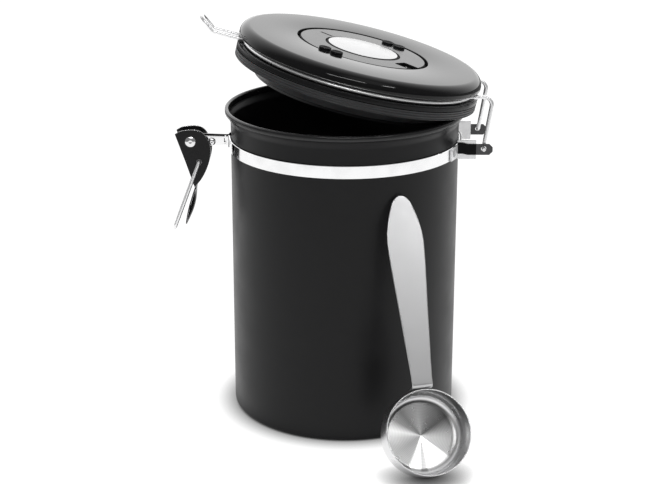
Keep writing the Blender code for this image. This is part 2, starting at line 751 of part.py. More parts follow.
front_points = [
    Vector((hinge_x, -stub_end, hinge_height)), Vector((hinge_x, -bail_spread, hinge_height)),
    arm_top, junction,
]
front_radii = [0.0, wire_radius * 1.3, bail_top_bend, bail_bend]
front_points += groove_arc + [nose_corner, elbow, nose_tip]
front_radii += [0.0] * len(groove_arc) + [bail_bend * 0.9, bail_bend, nose_half_width * 0.98]
rear_points = [Vector((point.x, -point.y, point.z)) for point in reversed(front_points)]
bail_path = filleted(front_points + rear_points, front_radii + front_radii[::-1])
wire("bail_wire", bail_path, wire_radius, bright_steel, lid_pivot, in_lid)

# The number wheel lies on the well floor and shows in the dial's window.
hub_stem = hub_radius - hub_lip
wheel_bottom = well_floor + fit_gap
wheel_profile = [
    (wheel_radius, wheel_bottom + wheel_thickness), (wheel_radius, wheel_bottom),
    (hub_stem + fit_gap, wheel_bottom), (hub_stem + fit_gap, wheel_bottom + wheel_thickness),
]
piece("number_wheel", turned(wheel_profile, ring_segments), white_plastic, in_lid, parent=lid_pivot)

# The date dial: a turning disc with a window at its edge and two pairs of grip nubs.
dial_top = lid_top - dial_sunk
dial_bottom = dial_top - dial_thickness
dial_radius = well_radius - dial_gap
dial_profile = [
    (dial_radius - dial_sunk, dial_top), (dial_radius, dial_top - dial_sunk),
    (dial_radius, dial_bottom), (hub_stem + dial_lip, dial_bottom),
    (hub_stem + dial_lip, dial_bottom + dial_lip), (hub_radius + fit_gap, dial_bottom + dial_lip),
    (hub_radius + fit_gap, dial_top),
]
date_dial = piece(
    "date_dial", turned(dial_profile, ring_segments), black_plastic, in_lid, parent=lid_pivot
)
window_corner = window_half_width / 4
window_cut = [(dial_radius + cut_overrun, -window_half_width), (dial_radius + cut_overrun, window_half_width)]
window_cut += arc((window_inner + window_corner, window_half_width - window_corner), window_corner, 90, 180, 3)
window_cut += arc((window_inner + window_corner, window_corner - window_half_width), window_corner, 180, 270, 3)
cutter(
    "dial_window", prism(window_cut, dial_bottom - cut_overrun, dial_top + cut_overrun),
    date_dial, place=in_lid, turn=(0.0, 0.0, window_angle),
)
grip_profile = [
    (0.0, dial_top + grip_rise - grip_dish), (grip_radius / 2, dial_top + grip_rise - grip_dish),
    (grip_radius * 0.8, dial_top + grip_rise), (grip_radius - dial_sunk, dial_top + grip_rise),
    (grip_radius, dial_top + grip_rise - dial_sunk), (grip_radius, dial_top - dial_thickness / 2),
    (0.0, dial_top - dial_thickness / 2),
]
across = grip_angle + math.pi / 2
grip_number = 0
for end in (-1, 1):
    for side in (-1, 1):
        grip_number += 1
        place = (
            in_lid[0] + end * grip_place * math.cos(grip_angle) + side * grip_half_gap * math.cos(across),
            end * grip_place * math.sin(grip_angle) + side * grip_half_gap * math.sin(across),
            in_lid[2],
        )
        cutter("grip_" + str(grip_number), turned(grip_profile, pin_segments), date_dial, "UNION", place)

# The hub keeps the dial down, and its rim frames the bare badge disc.
hub_top = dial_top + fit_gap
badge_floor = hub_top - badge_thickness - fit_gap
hub_profile = [
    (hub_radius - dial_sunk, hub_top), (hub_radius, hub_top - dial_sunk),
    (hub_radius, dial_bottom + dial_lip + fit_gap), (hub_stem, dial_bottom + dial_lip + fit_gap),
    (hub_stem, well_floor + fit_gap), (0.0, well_floor + fit_gap), (0.0, badge_floor),
    (badge_radius + fit_gap, badge_floor), (badge_radius + fit_gap, hub_top),
]
piece("dial_hub", turned(hub_profile, small_segments), black_plastic, in_lid, parent=lid_pivot)
badge_bottom = badge_floor + fit_gap
badge_profile = [
    (0.0, badge_bottom + badge_thickness), (badge_radius - dial_sunk, badge_bottom + badge_thickness),
    (badge_radius, badge_bottom + badge_thickness - dial_sunk), (badge_radius, badge_bottom),
    (0.0, badge_bottom),
]
piece("badge_disc", turned(badge_profile, small_segments), satin_steel, in_lid, parent=lid_pivot)

# The one-way valve: a soft umbrella disc over the vents, with its stem through the lid plate.
valve_top = flange_bottom - fit_gap
stem_top = flange_bottom + lid_plate + valve_stem / 2
valve_profile = [
    (0.0, stem_top), (valve_stem / 2, stem_top), (valve_stem, stem_top - valve_stem / 2),
    (valve_stem, valve_top), (valve_radius, valve_top), (valve_radius, valve_top - valve_rise / 3),
    (valve_radius * 0.6, valve_top - valve_rise * 0.85), (0.0, valve_top - valve_rise),
]
piece("valve_disc", turned(valve_profile, pin_segments), pale_silicone, in_lid, parent=lid_pivot)
cap_inner = valve_boss_radius + fit_gap
cap_outer = cap_inner + cap_wall
cap_ceiling = boss_bottom - fit_gap
cap_bottom = cap_ceiling - cap_wall
cap_profile = [
    (cap_outer, flange_bottom - fit_gap), (cap_outer, cap_bottom + cap_wall / 2),
    (cap_outer - cap_wall / 2, cap_bottom), (0.0, cap_bottom), (0.0, cap_ceiling),
    (cap_inner, cap_ceiling), (cap_inner, flange_bottom - fit_gap),
]
valve_cap = piece(
    "valve_cap", turned(cap_profile, small_segments), black_plastic, in_lid, parent=lid_pivot
)
cap_slot_end = valve_boss_radius - 2 * valve_boss_wall
slot_plan = [
    (cap_slot_inner, -cap_slot_width / 2), (cap_slot_end, -cap_slot_width / 2),
    (cap_slot_end, cap_slot_width / 2), (cap_slot_inner, cap_slot_width / 2),
]
for index in range(cap_slot_count):
    cutter(
        "cap_slot_" + str(index + 1),
        prism(slot_plan, cap_bottom - cut_overrun, cap_ceiling + cut_overrun),
        valve_cap, place=in_lid, turn=(0.0, 0.0, 2 * math.pi * index / cap_slot_count),
    )

# The scoop: a pressed bowl tipped on its floor edge, its long strap leaning on the can.
scoop_flat = scoop_radius - scoop_corner
opening_up = math.sin(scoop_tilt)
bowl_height = opening_up * (scoop_depth - scoop_corner)
bowl_height += scoop_flat * math.sqrt(1 - opening_up**2) + scoop_corner
scoop_euler = Euler((math.pi / 2 - scoop_tilt, 0.0, scoop_turn))
handle_out = scoop_radius + fit_gap + handle_thickness / 2
handle_line = Vector((0.0, math.cos(handle_lift), math.sin(handle_lift)))
tab_corner = Vector((0.0, handle_out, handle_thickness / 2))
lean_point = tab_corner + handle_line * handle_length
lean_point.rotate(Euler((0.0, 0.0, scoop_roll)))
lean_point.rotate(scoop_euler)
lean_radius = body_radius + handle_stand_off
scoop_x = lean_radius * math.sin(handle_lean_angle) - lean_point.x
scoop_y = -lean_radius * math.cos(handle_lean_angle) - lean_point.y
scoop_rest = empty("scoop_rest", (scoop_x, scoop_y, bowl_height), scoop_euler)
bowl_centre = (scoop_flat, scoop_corner - scoop_depth)
bowl_profile = [(scoop_radius - scoop_wall, 0.0), (scoop_radius, 0.0)]
bowl_profile += arc(bowl_centre, scoop_corner, 0, -90, 4)
bowl_profile += [(0.0, -scoop_depth), (0.0, scoop_wall - scoop_depth)]
bowl_profile += arc(bowl_centre, scoop_corner - scoop_wall, -90, 0, 4)
piece("scoop_bowl", turned(bowl_profile, small_segments), bright_steel, parent=scoop_rest)
handle_shares = [
    (0.05, 0.56), (0.12, 0.6), (0.24, 0.68), (0.35, 0.75), (0.455, 0.82), (0.52, 0.87), (0.62, 0.94),
    (0.7, 0.985), (0.76, 1.0), (0.81, 0.96), (0.855, 0.87), (0.9, 0.75), (0.94, 0.61), (0.965, 0.51),
    (0.98, 0.41), (0.992, 0.28), (1.0, 0.1),
]
tab_side = Vector((0.0, handle_out, -handle_tab))
handle_path = filleted(
    [tab_side, tab_corner, tab_corner + handle_line * handle_length * handle_shares[0][0]],
    [0.0, handle_bend, 0.0], 3,
)
handle_stations = [(point, handle_shares[0][1]) for point in handle_path]
for along_share, width_share in handle_shares[1:]:
    handle_stations.append((tab_corner + handle_line * handle_length * along_share, width_share))
handle_rings = []
for index, (point, width_share) in enumerate(handle_stations):
    before = handle_stations[max(index - 1, 0)][0]
    after = handle_stations[min(index + 1, len(handle_stations) - 1)][0]
    along = (after - before).normalized()
    normal = Vector((0.0, -along.z, along.y)) * handle_thickness / 2
    half = handle_width * width_share / 2
    handle_rings.append([
        (-half, point.y - normal.y, point.z - normal.z), (half, point.y - normal.y, point.z - normal.z),
        (half, point.y + normal.y, point.z + normal.z), (-half, point.y + normal.y, point.z + normal.z),
    ])
scoop_handle = piece(
    "scoop_handle", loft(handle_rings), satin_steel, turn=(0.0, 0.0, scoop_roll), parent=scoop_rest
)
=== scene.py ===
from math import asin, copysign, cos, hypot, pi, radians, sin, sqrt, tan

import bmesh
import bpy
from mathutils import Matrix, Vector


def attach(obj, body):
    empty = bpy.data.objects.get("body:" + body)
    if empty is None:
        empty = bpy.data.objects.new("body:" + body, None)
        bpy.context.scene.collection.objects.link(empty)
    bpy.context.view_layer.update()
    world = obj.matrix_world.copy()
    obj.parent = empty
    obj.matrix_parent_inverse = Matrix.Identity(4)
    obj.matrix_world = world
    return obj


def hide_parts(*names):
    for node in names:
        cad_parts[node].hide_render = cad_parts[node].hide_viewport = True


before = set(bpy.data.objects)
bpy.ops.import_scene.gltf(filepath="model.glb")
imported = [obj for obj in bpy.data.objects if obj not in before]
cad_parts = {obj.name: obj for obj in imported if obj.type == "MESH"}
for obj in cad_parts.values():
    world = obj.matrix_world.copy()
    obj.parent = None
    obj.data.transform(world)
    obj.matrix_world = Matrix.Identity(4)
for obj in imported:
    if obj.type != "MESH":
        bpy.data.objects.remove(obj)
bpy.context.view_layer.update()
MM = 0.001

# The canister body: a drawn steel can in black enamel. The neck flares to a rolled rim, and the
# flat base has one pressed ring. The enamel is even, with a faint orange-peel and light dust.
body_radius = 62.0 * MM
body_wall = 0.8 * MM
rim_height = 171.3 * MM
rim_reach = 65.0 * MM
rim_roll = 1.0 * MM
curl_depth = 3.0 * MM
curl_edge = 0.6 * MM
flare_out = 1.6 * MM
flare_height = 4.2 * MM
base_corner = 3.1 * MM
bead_radius = 48.0 * MM
bead_half_width = 2.6 * MM
bead_rise = 0.9 * MM
fit_gap = 0.3 * MM
weld_distance = 0.0001 * MM
fine_steps = 160
pin_steps = 40


def spread(start, end, steps):
    """Even values from start to end, both included."""
    return [start + (end - start) * step / steps for step in range(steps + 1)]


def arc(centre, radius, start, end, steps):
    """Points on a circle in the plane of a profile, ends included, angles in degrees."""
    points = []
    for angle in spread(start, end, steps):
        across, up = cos(radians(angle)), sin(radians(angle))
        points.append((centre[0] + radius * across, centre[1] + radius * up))
    return points


def on_circle(radius, angle, height=0.0):
    """A point on a level circle round the axis."""
    return Vector((radius * cos(angle), radius * sin(angle), height))


def turned(profile, steps, axis="Z"):
    """A closed profile of (radius, height) pairs spun once round an axis."""
    bm = bmesh.new()
    verts = []
    for radius, height in profile:
        verts.append(bm.verts.new((radius, 0.0, height) if axis == "Z" else (radius, height, 0.0)))
    edges = []
    for index, (radius, height) in enumerate(profile):
        after = (index + 1) % len(profile)
        if radius > 0 or profile[after][0] > 0:
            edges.append(bm.edges.new((verts[index], verts[after])))
    about = (0.0, 0.0, 1.0) if axis == "Z" else (0.0, 1.0, 0.0)
    bmesh.ops.spin(
        bm, geom=verts + edges, cent=(0.0, 0.0, 0.0), axis=about,
        angle=2 * pi, steps=steps, use_merge=True,
    )
    bmesh.ops.remove_doubles(bm, verts=bm.verts, dist=weld_distance)
    return bm


def placed(name, data):
    """A new object, linked into the scene."""
    made = bpy.data.objects.new(name, data)
    bpy.context.scene.collection.objects.link(made)
    return made


def finished(name, bm, stuff, body, stands_for, place=None, sharp=32.0):
    """Make the mesh a smooth piece that rides on its body and stands for its CAD nodes."""
    bmesh.ops.recalc_face_normals(bm, faces=bm.faces)
    mesh = bpy.data.meshes.new(name)
    bm.to_mesh(mesh)
    bm.free()
    mesh.shade_smooth()
    mesh.set_sharp_from_angle(angle=radians(sharp))
    mesh.materials.append(stuff)
    made = placed(name, mesh)
    if place is not None:
        made.matrix_world = place
    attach(made, body)
    if stands_for:
        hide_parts(*stands_for)
    return made


def settle(thing, **settings):
    """Give a thing its settings, and hand it back."""
    for name, value in settings.items():
        setattr(thing, name, value)
    return thing


def node(tree, kind, output, inputs=None, **settings):
    """Add a shader node, with a value or a link for its inputs, and give back one of its outputs."""
    made = settle(tree.nodes.new("ShaderNode" + kind), **settings)
    for name, value in (inputs or {}).items():
        if isinstance(value, bpy.types.NodeSocket):
            tree.links.new(value, made.inputs[name])
        else:
            made.inputs[name].default_value = value
    return made.outputs[output]


def surface_group():
    """Fine unevenness of a finished surface: a mottled roughness, a little dust and a bump."""
    group = bpy.data.node_groups.new("surface_life", "ShaderNodeTree")
    face = group.interface
    for name in ("Scale", "Rough Low", "Rough High", "Bump", "Dust"):
        face.new_socket(name, in_out="INPUT", socket_type="NodeSocketFloat")
    for name in ("Colour", "Dust Colour"):
        face.new_socket(name, in_out="INPUT", socket_type="NodeSocketColor")
    for name, kind in (("Colour", "Color"), ("Roughness", "Float"), ("Normal", "Vector")):
        face.new_socket(name, in_out="OUTPUT", socket_type="NodeSocket" + kind)
    given = group.nodes.new("NodeGroupInput").outputs
    where = node(group, "TexCoord", "Object")
    slow = node(group, "Math", 0, {0: given["Scale"], 1: 0.12}, operation="MULTIPLY")
    cloud = node(group, "TexNoise", "Fac", {"Vector": where, "Scale": slow, "Detail": 4.0})
    rough = node(group, "MapRange", "Result", {
        "Value": cloud, "From Min": 0.3, "From Max": 0.7,
        "To Min": given["Rough Low"], "To Max": given["Rough High"],
    })
    peel = node(group, "TexNoise", "Fac", {"Vector": where, "Scale": given["Scale"], "Detail": 2.0})
    bump = node(group, "Bump", "Normal", {
        "Height": peel, "Strength": given["Bump"], "Distance": 0.1 * MM,
    })
    speck = node(group, "MapRange", "Result", {
        "Value": cloud, "From Min": 0.45, "From Max": 0.8, "To Max": given["Dust"],
    })
    tint = node(group, "Mix", "Result", {
        "Factor": speck, "A": given["Colour"], "B": given["Dust Colour"],
    }, data_type="RGBA")
    out = group.nodes.new("NodeGroupOutput").inputs
    for name, socket in (("Colour", tint), ("Roughness", rough), ("Normal", bump)):
        group.links.new(socket, out[name])
    return group


surface_life = surface_group()


def finish(name, colour, roughness, scale, bump, dust, pale=0.35, metallic=0.0, even=None):
    """A material: its even values on its own shader, and surface_life for what varies."""
    made = bpy.data.materials.new(name)
    made.use_nodes = True
    tree = made.node_tree
    shader = tree.nodes["Principled BSDF"]
    shader.inputs["Metallic"].default_value = metallic
    for socket, value in (even or {}).items():
        shader.inputs[socket].default_value = value
    life = tree.nodes.new("ShaderNodeGroup")
    life.node_tree = surface_life
    for socket, value in (
        ("Scale", scale), ("Rough Low", roughness[0]), ("Rough High", roughness[1]), ("Bump", bump),
        ("Dust", dust), ("Colour", (*colour, 1.0)), ("Dust Colour", (pale, pale, pale, 1.0)),
    ):
        life.inputs[socket].default_value = value
    for made_by, fed in (("Colour", "Base Color"), ("Roughness", "Roughness"), ("Normal", "Normal")):
        tree.links.new(life.outputs[made_by], shader.inputs[fed])
    return made


def refinish(made, stuff, chosen):
    """Give the faces whose middle and normal are chosen a second material."""
    made.data.materials.append(stuff)
    for face in made.data.polygons:
        if chosen(face.center, face.normal):
            face.material_index = 1


enamel_black = (0.006, 0.006, 0.0065)
enamel = finish(
    "black_enamel", enamel_black, (0.34, 0.42), 500.0, 0.04, 0.006, even={"Specular IOR Level": 0.2}
)

roll_centre = (rim_reach - rim_roll, rim_height - rim_roll)
curl_bottom = rim_height - curl_depth
flare_bottom = curl_bottom - curl_edge - flare_height
flare = []
for share in spread(1, 0, 8):
    ease = share * share * (3 - 2 * share)
    flare.append((body_radius + flare_out * ease, flare_bottom + flare_height * share))
corner_centre = (body_radius - base_corner, base_corner)
bead = []
for across in spread(1, -1, 10):
    rise = bead_rise * (1 - across**2) ** 2
    bead.append((bead_radius + bead_half_width * across, rise))
can_profile = [
    *arc(roll_centre, rim_roll, 180, 0, 14),
    *arc((rim_reach - curl_edge, curl_bottom + curl_edge), curl_edge, 0, -90, 5),
    *flare, *arc(corner_centre, base_corner, 0, -90, 10), *bead, (0.0, 0.0), (0.0, body_wall),
    *[(radius, height + body_wall) for radius, height in reversed(bead)],
    *arc(corner_centre, base_corner - body_wall, -90, 0, 8),
    *[(radius - body_wall, height) for radius, height in reversed(flare)],
]
can = finished("can_shell", turned(can_profile, fine_steps), enamel, "canister", ["canister_body"])
rim_enamel = finish("rim_enamel", enamel_black, (0.16, 0.24), 500.0, 0.02, 0.01)
refinish(can, rim_enamel, lambda middle, normal: middle.z > curl_bottom)

# The neck strap: a band of bright rolled steel that grips the neck below the flare. Its two ends
# are folded out into parallel ears, each pierced for the rivets and slit beside the fold.
strap_inner = body_radius + fit_gap
strap_thickness = 0.7 * MM
strap_height = 151.75 * MM
strap_width = 6.7 * MM
strap_edge = 0.18 * MM
ear_half_gap = 2.4 * MM
ear_root_width = 4.8 * MM
ear_bend = 1.6 * MM
ear_end_radius = 3.0 * MM
ear_slot_width = 0.8 * MM
ear_slot_height = 3.4 * MM
ear_slot_reach = 2.3 * MM
lever_x = -83.9 * MM
lever_z = 152.0 * MM
clamp_x = -72.4 * MM
clamp_z = 151.65 * MM
pin_radius = 1.2 * MM
hole_radius = pin_radius + fit_gap
cut_overrun = 2.0 * MM
strap_steps = 150


def filleted(points, radii, steps=8):
    """Replace the corners of a path by arcs of the given radii; a radius of 0 keeps the corner."""
    path = [points[0]]
    for index in range(1, len(points) - 1):
        corner = points[index]
        radius = radii[index]
        back = (points[index - 1] - corner).normalized()
        ahead = (points[index + 1] - corner).normalized()
        angle = back.angle(ahead)
        if radius == 0 or angle > radians(177.0):
            path.append(corner)
            continue
        reach = radius / tan(angle / 2)
        centre = corner + (back + ahead).normalized() * radius / sin(angle / 2)
        start = corner + back * reach - centre
        end = corner + ahead * reach - centre
        for share in spread(0, 1, steps):
            path.append(centre + start.slerp(end, share).normalized() * radius)
    path.append(points[-1])
    return path


def loft(rings):
    """Join rings of points into one solid with a cap at each end."""
    bm = bmesh.new()
    made = [[bm.verts.new(point) for point in ring] for ring in rings]
    bm.faces.new(made[0])
    bm.faces.new(made[-1])
    for first, second in zip(made, made[1:]):
        for index in range(len(first)):
            after = (index + 1) % len(first)
            bm.faces.new((first[index], first[after], second[after], second[index]))
    return bm


def heading(path, index):
    """The way that a path runs at one of its points."""
    return (path[min(index + 1, len(path) - 1)] - path[max(index - 1, 0)]).normalized()


def strip(path, spans, thickness):
    """A sheet on edge along a path in plan, with softened long edges."""
    rings = []
    for index, point in enumerate(path):
        along = heading(path, index)
        side = Vector((-along.y, along.x, 0.0))
        low, high = spans[index]
        soft = min(strap_edge, (high - low) / 3)
        ring = []
        for out, level in (
            (-0.5, low + soft), (-0.5 + soft / thickness, low), (0.5 - soft / thickness, low),
            (0.5, low + soft), (0.5, high - soft), (0.5 - soft / thickness, high),
            (-0.5 + soft / thickness, high), (-0.5, high - soft),
        ):
            place = point + side * thickness * out
            ring.append((place.x, place.y, level))
        rings.append(ring)
    return loft(rings)


def prism(outline, low, high, along="Y"):
    """One outline pushed from low to high, along Y or upwards."""
    return loft([
        [(a, level, b) if along == "Y" else (a, b, level) for a, b in outline] for level in (low, high)
    ])


def evaluated(made):
    """The mesh that an object's modifiers or a curve's thickness make."""
    bpy.context.view_layer.update()
    return bpy.data.meshes.new_from_object(made.evaluated_get(bpy.context.evaluated_depsgraph_get()))


def apply_modifiers(made):
    """Bake a piece's modifiers into its mesh and clear them."""
    mesh = evaluated(made)
    made.modifiers.clear()
    made.data = mesh


def combine(made, bm, operation, place=(0.0, 0.0, 0.0), turn=0.0):
    """Cut a helper solid out of a piece, or fuse it on, with an exact Boolean."""
    bmesh.ops.recalc_face_normals(bm, faces=bm.faces)
    mesh = bpy.data.meshes.new("helper")
    bm.to_mesh(mesh)
    bm.free()
    mesh.shade_smooth()
    helper = placed("helper", mesh)
    helper.matrix_world = made.matrix_world @ Matrix.Translation(place) @ Matrix.Rotation(turn, 4, "Z")
    settle(made.modifiers.new("cut", "BOOLEAN"), operation=operation, solver="EXACT", object=helper)
    apply_modifiers(made)
    bpy.data.objects.remove(helper, do_unlink=True)


def even_shading(made, sharp=None):
    """Let the large flat faces rule the normals, so that soft edges don't tint them."""
    if sharp is not None:
        made.data.set_sharp_from_angle(angle=radians(sharp))
    settle(made.modifiers.new("even", "WEIGHTED_NORMAL"), weight=100, keep_sharp=True)
    apply_modifiers(made)


def oblong(left, right, low, high):
    """The four corners of a rectangle, as a profile to turn or an outline to push."""
    return [(left, low), (right, low), (right, high), (left, high)]


def pin_cutter(radius, half_length):
    """A round cutter along Y."""
    return turned(oblong(0.0, radius, half_length, -half_length), pin_steps, "Y")


strap_steel = finish("strap_steel", (0.9, 0.9, 0.905), (0.08, 0.14), 900.0, 0.03, 0.05, 0.5, metallic=1.0)
strap_middle = strap_inner + strap_thickness / 2
ear_middle = ear_half_gap + strap_thickness / 2
ear_outer = ear_half_gap + strap_thickness
strap_low = strap_height - strap_width / 2
strap_high = strap_height + strap_width / 2
ear_root = Vector((-sqrt(strap_middle**2 - ear_middle**2), ear_middle, 0.0))
ear_tip = [
    Vector((lever_x - ear_end_radius * sin(radians(turn)), ear_middle, 0.0)) for turn in range(84, 0, -7)
]
band_start = pi - asin(ear_middle / strap_middle)
band_ease = 2 * ear_bend / strap_middle
band = []
for share in spread(1, -1, strap_steps):
    band.append(on_circle(strap_middle, (band_start - band_ease) * share))
first_fold = filleted([Vector((lever_x, ear_middle, 0.0)), ear_root, band[0]], [0.0, ear_bend, 0.0])
strap_path = ear_tip + first_fold + band[1:-1]
strap_path += [Vector((point.x, -point.y, 0.0)) for point in reversed(ear_tip + first_fold)]
bend_x = ear_root.x - ear_bend
strap_spans = []
for point in strap_path:
    if point.x < lever_x:
        half = sqrt(max(ear_end_radius**2 - (lever_x - point.x) ** 2, 0.0))
        strap_spans.append((lever_z - half, lever_z + half))
    elif point.x < lever_x + ear_end_radius / 2:
        strap_spans.append((lever_z - ear_end_radius, lever_z + ear_end_radius))
    elif point.x < bend_x + ear_bend / 2 and abs(point.y) < 2 * ear_outer:
        strap_spans.append((lever_z - ear_root_width / 2, lever_z + ear_root_width / 2))
    else:
        strap_spans.append((strap_low, strap_high))
strap_band = finished(
    "strap_band", strip(strap_path, strap_spans, strap_thickness), strap_steel, "canister", ["neck_strap"]
)
ear_span = ear_outer + cut_overrun
combine(strap_band, pin_cutter(hole_radius, ear_span), "DIFFERENCE", (lever_x, 0.0, lever_z))
combine(strap_band, pin_cutter(hole_radius, ear_span), "DIFFERENCE", (clamp_x, 0.0, clamp_z))
slot_round = ear_slot_width / 2
slot_x = bend_x - ear_slot_reach + ear_slot_width + slot_round
slot_half = ear_slot_height / 2 - slot_round
slot_outline = arc((slot_x, lever_z + slot_half), slot_round, 0, 180, 8)
slot_outline += arc((slot_x, lever_z - slot_half), slot_round, 180, 360, 8)
combine(strap_band, prism(slot_outline, -ear_span, ear_span), "DIFFERENCE")
dark_steel = finish("dark_steel", (0.08, 0.08, 0.082), (0.24, 0.4), 900.0, 0.08, 0.06, 0.3, metallic=0.8)
# Matte black: the hub's and grip tops' own finish, and also painted shade on faces that lie in gaps and
# grooves.
matte_black_and_painted_shade = finish(
    "matte_black_and_painted_shade", (0.004, 0.004, 0.0043), (0.55, 0.7), 700.0, 0.08, 0.004,
    even={"Specular IOR Level": 0.1},
)
# The ears' facing inner faces, across the narrow gap between them, are painted matte black as the shade
# in that gap.
refinish(
    strap_band, matte_black_and_painted_shade,
    lambda middle, normal: middle.x < bend_x and abs(middle.y) < ear_middle and abs(normal.y) > 0.9,
)
even_shading(strap_band)

# The two rivets of the latch: turned from bright steel, headed over on both sides. The first draws
# the ears together over a spacer, the second carries the lever. Two washers lie beside the ears.
lever_half_width = 5.1 * MM
lever_thickness = 0.8 * MM
clamp_head_radius = 2.1 * MM
clamp_head_rise = 0.6 * MM
pivot_head_radius = 2.9 * MM
pivot_head_rise = 0.55 * MM
washer_radius = 2.3 * MM
head_dish = 0.12 * MM
rivet_steel = finish("rivet_steel", (0.8, 0.8, 0.81), (0.1, 0.2), 1500.0, 0.05, 0.04, 0.5, metallic=1.0)


def rivet(name, collar_end, head_start, head_radius, head_rise, place, stands_for):
    """A pin along Y with a domed head at each end, its centre dished, and a thicker middle."""
    half = [(0.0, head_start + head_rise - head_dish)]
    for share in (0.14, 0.25, 0.32, 0.45, 0.6, 0.75, 0.87, 0.95, 0.99):
        dome = head_start + head_rise * (1 - share**3)
        half.append((head_radius * share, dome - head_dish * max(0.0, 1 - share / 0.32)))
    half += [(head_radius, head_start), (pin_radius, head_start), (pin_radius, collar_end)]
    half += [(pin_radius + hole_radius / 2, collar_end)]
    mirrored = [(radius, -height) for radius, height in reversed(half)]
    return finished(
        name, turned(half + mirrored, pin_steps, "Y"), rivet_steel, "canister", stands_for,
        Matrix.Translation(place),
    )


rivet(
    "strap_rivet", ear_half_gap - fit_gap, ear_outer + fit_gap, clamp_head_radius, clamp_head_rise,
    (clamp_x, 0.0, clamp_z), ["clamp_rivet"],
)
rivet(
    "lever_rivet", ear_half_gap - fit_gap, lever_half_width + fit_gap, pivot_head_radius, pivot_head_rise,
    (lever_x, 0.0, lever_z), ["lever_pivot_rivet"],
)
lever_inner = lever_half_width - lever_thickness
for name, solid, side in (
    ("front_washer", "pivot_washer_front", -1), ("rear_washer", "pivot_washer_rear", 1),
):
    low = side * (ear_outer + fit_gap / 2)
    high = side * (lever_inner - fit_gap / 2)
    ring = turned(oblong(hole_radius, washer_radius, low, high), pin_steps, "Y")
    finished(name, ring, strap_steel, "canister", [solid], Matrix.Translation((lever_x, 0.0, lever_z)))

# The latch lever: a black enamelled pressing. Two cam-shaped cheeks hang on the pivot and a web
# joins them along their outer edge, running down into a spoon-shaped finger tab.
lever_front = 11.0 * MM
lever_drop = 26.0 * MM
tab_half_width = 5.0 * MM
tab_length = 22.0 * MM
tab_bulge = 2.4 * MM
tab_sway = 0.8 * MM
loop_radius = 1.0 * MM
loop_forward = 4.5 * MM
loop_drop = 11.3 * MM
lever_edge = 0.3 * MM
lever_paint = finish(
    "lever_enamel", (0.006, 0.006, 0.0065), (0.22, 0.34), 700.0, 0.08, 0.02,
    even={"Specular IOR Level": 0.25},
)


def smooth_outline(points, corners, steps=4):
    """A closed curve through points, straight at the listed corner points."""
    count = len(points)
    smooth = []
    for index in range(count):
        here = Vector(points[index])
        after = Vector(points[(index + 1) % count])
        if index in corners and (index + 1) % count in corners:
            smooth.append(tuple(here))
            continue
        before = Vector(points[index - 1]) if index not in corners else here
        beyond = Vector(points[(index + 2) % count]) if (index + 1) % count not in corners else after
        for step in range(steps):
            t = step / steps
            place = here * 2 + (after - before) * t
            place += (before * 2 - here * 5 + after * 4 - beyond) * t**2
            place += (here * 3 - before - after * 3 + beyond) * t**3
            smooth.append(tuple(place / 2))
    return smooth


cheek_shares = [
    (-0.77, 0.157), (-0.54, 0.215), (-0.26, 0.243), (0.173, 0.253), (0.49, 0.224), (0.71, 0.147),
    (0.88, 0.02), (0.97, -0.09), (1.0, -0.2), (0.97, -0.33), (0.88, -0.48), (0.75, -0.624),
    (0.6, -0.75), (0.43, -0.86), (0.15, -1.0), (-0.07, -0.714), (-0.26, -0.465),
]
cheek_corners = (0, 14, 15, 16)
cheek = smooth_outline([(lever_front * x, lever_drop * z) for x, z in cheek_shares], cheek_corners)
lever_place = Matrix.Translation((lever_x, 0.0, lever_z))
latch_cheeks = finished(
    "latch_cheeks", prism(cheek, lever_inner, lever_half_width), lever_paint, "lever", ["latch_lever"],
    lever_place,
)
combine(latch_cheeks, prism(cheek, -lever_half_width, -lever_inner), "UNION")
web_top = Vector((-0.52 * lever_front, 0.0, 0.02 * lever_drop))
web_bottom = Vector((0.15 * lever_front, 0.0, -lever_drop))
tab_end = Vector((-0.4 * lever_front, 0.0, -lever_drop - tab_length))
web_half = lever_half_width - lever_thickness / 2
tab_stations = [(web_top, web_half, 0.0), (web_bottom, web_half, 0.0)]
tab_steps = 24
for along in spread(0, 1, tab_steps)[1:]:
    round_end = sqrt(max(1 - max(0.0, (along - 0.82) / 0.185) ** 2, 0.0))
    width = tab_half_width * (1.0 - 0.12 * along**4) * (0.35 + 0.65 * round_end)
    bulge = tab_bulge * sin(pi * along)
    sway = Vector((tab_sway * sin(pi * along), 0.0, 0.0))
    tab_stations.append((web_bottom.lerp(tab_end, along) - sway, width, bulge))
tab_rings = []
for place, width, bulge in tab_stations:
    ring = []
    for side, depth in ((1, 0.0), (-1, lever_thickness)):
        for share in spread(-side, side, 12):
            ring.append((place.x + bulge * (1 - share**2) + fit_gap + depth, width * share, place.z))
    tab_rings.append(ring)
combine(latch_cheeks, loft(tab_rings), "UNION")
lever_span = lever_half_width + cut_overrun
combine(latch_cheeks, pin_cutter(hole_radius, lever_span), "DIFFERENCE")
combine(
    latch_cheeks, pin_cutter(loop_radius + fit_gap, lever_span), "DIFFERENCE",
    (loop_forward, 0.0, -loop_drop),
)
latch_cheeks.data.materials.append(rivet_steel)
settle(
    latch_cheeks.modifiers.new("soften", "BEVEL"), width=lever_edge, segments=2, limit_method="ANGLE",
    angle_limit=radians(50.0), material=1,
)
apply_modifiers(latch_cheeks)
even_shading(latch_cheeks, 35.0)

# The latch loop: bright round wire bent to a narrow frame. Its two ends turn in through the
# cheeks, and its crossbar hooks the lid's nose.
loop_length = 40.5 * MM
loop_corner = 3.0 * MM
loop_angle = radians(20.7)
loop_half = lever_half_width + pivot_head_rise + loop_radius + 2 * fit_gap
loop_end = lever_inner - 2 * fit_gap
wire_steel = finish("bright_wire", (0.93, 0.93, 0.935), (0.3, 0.34), 300.0, 0.0, 0.03, 0.5, metallic=0.85)


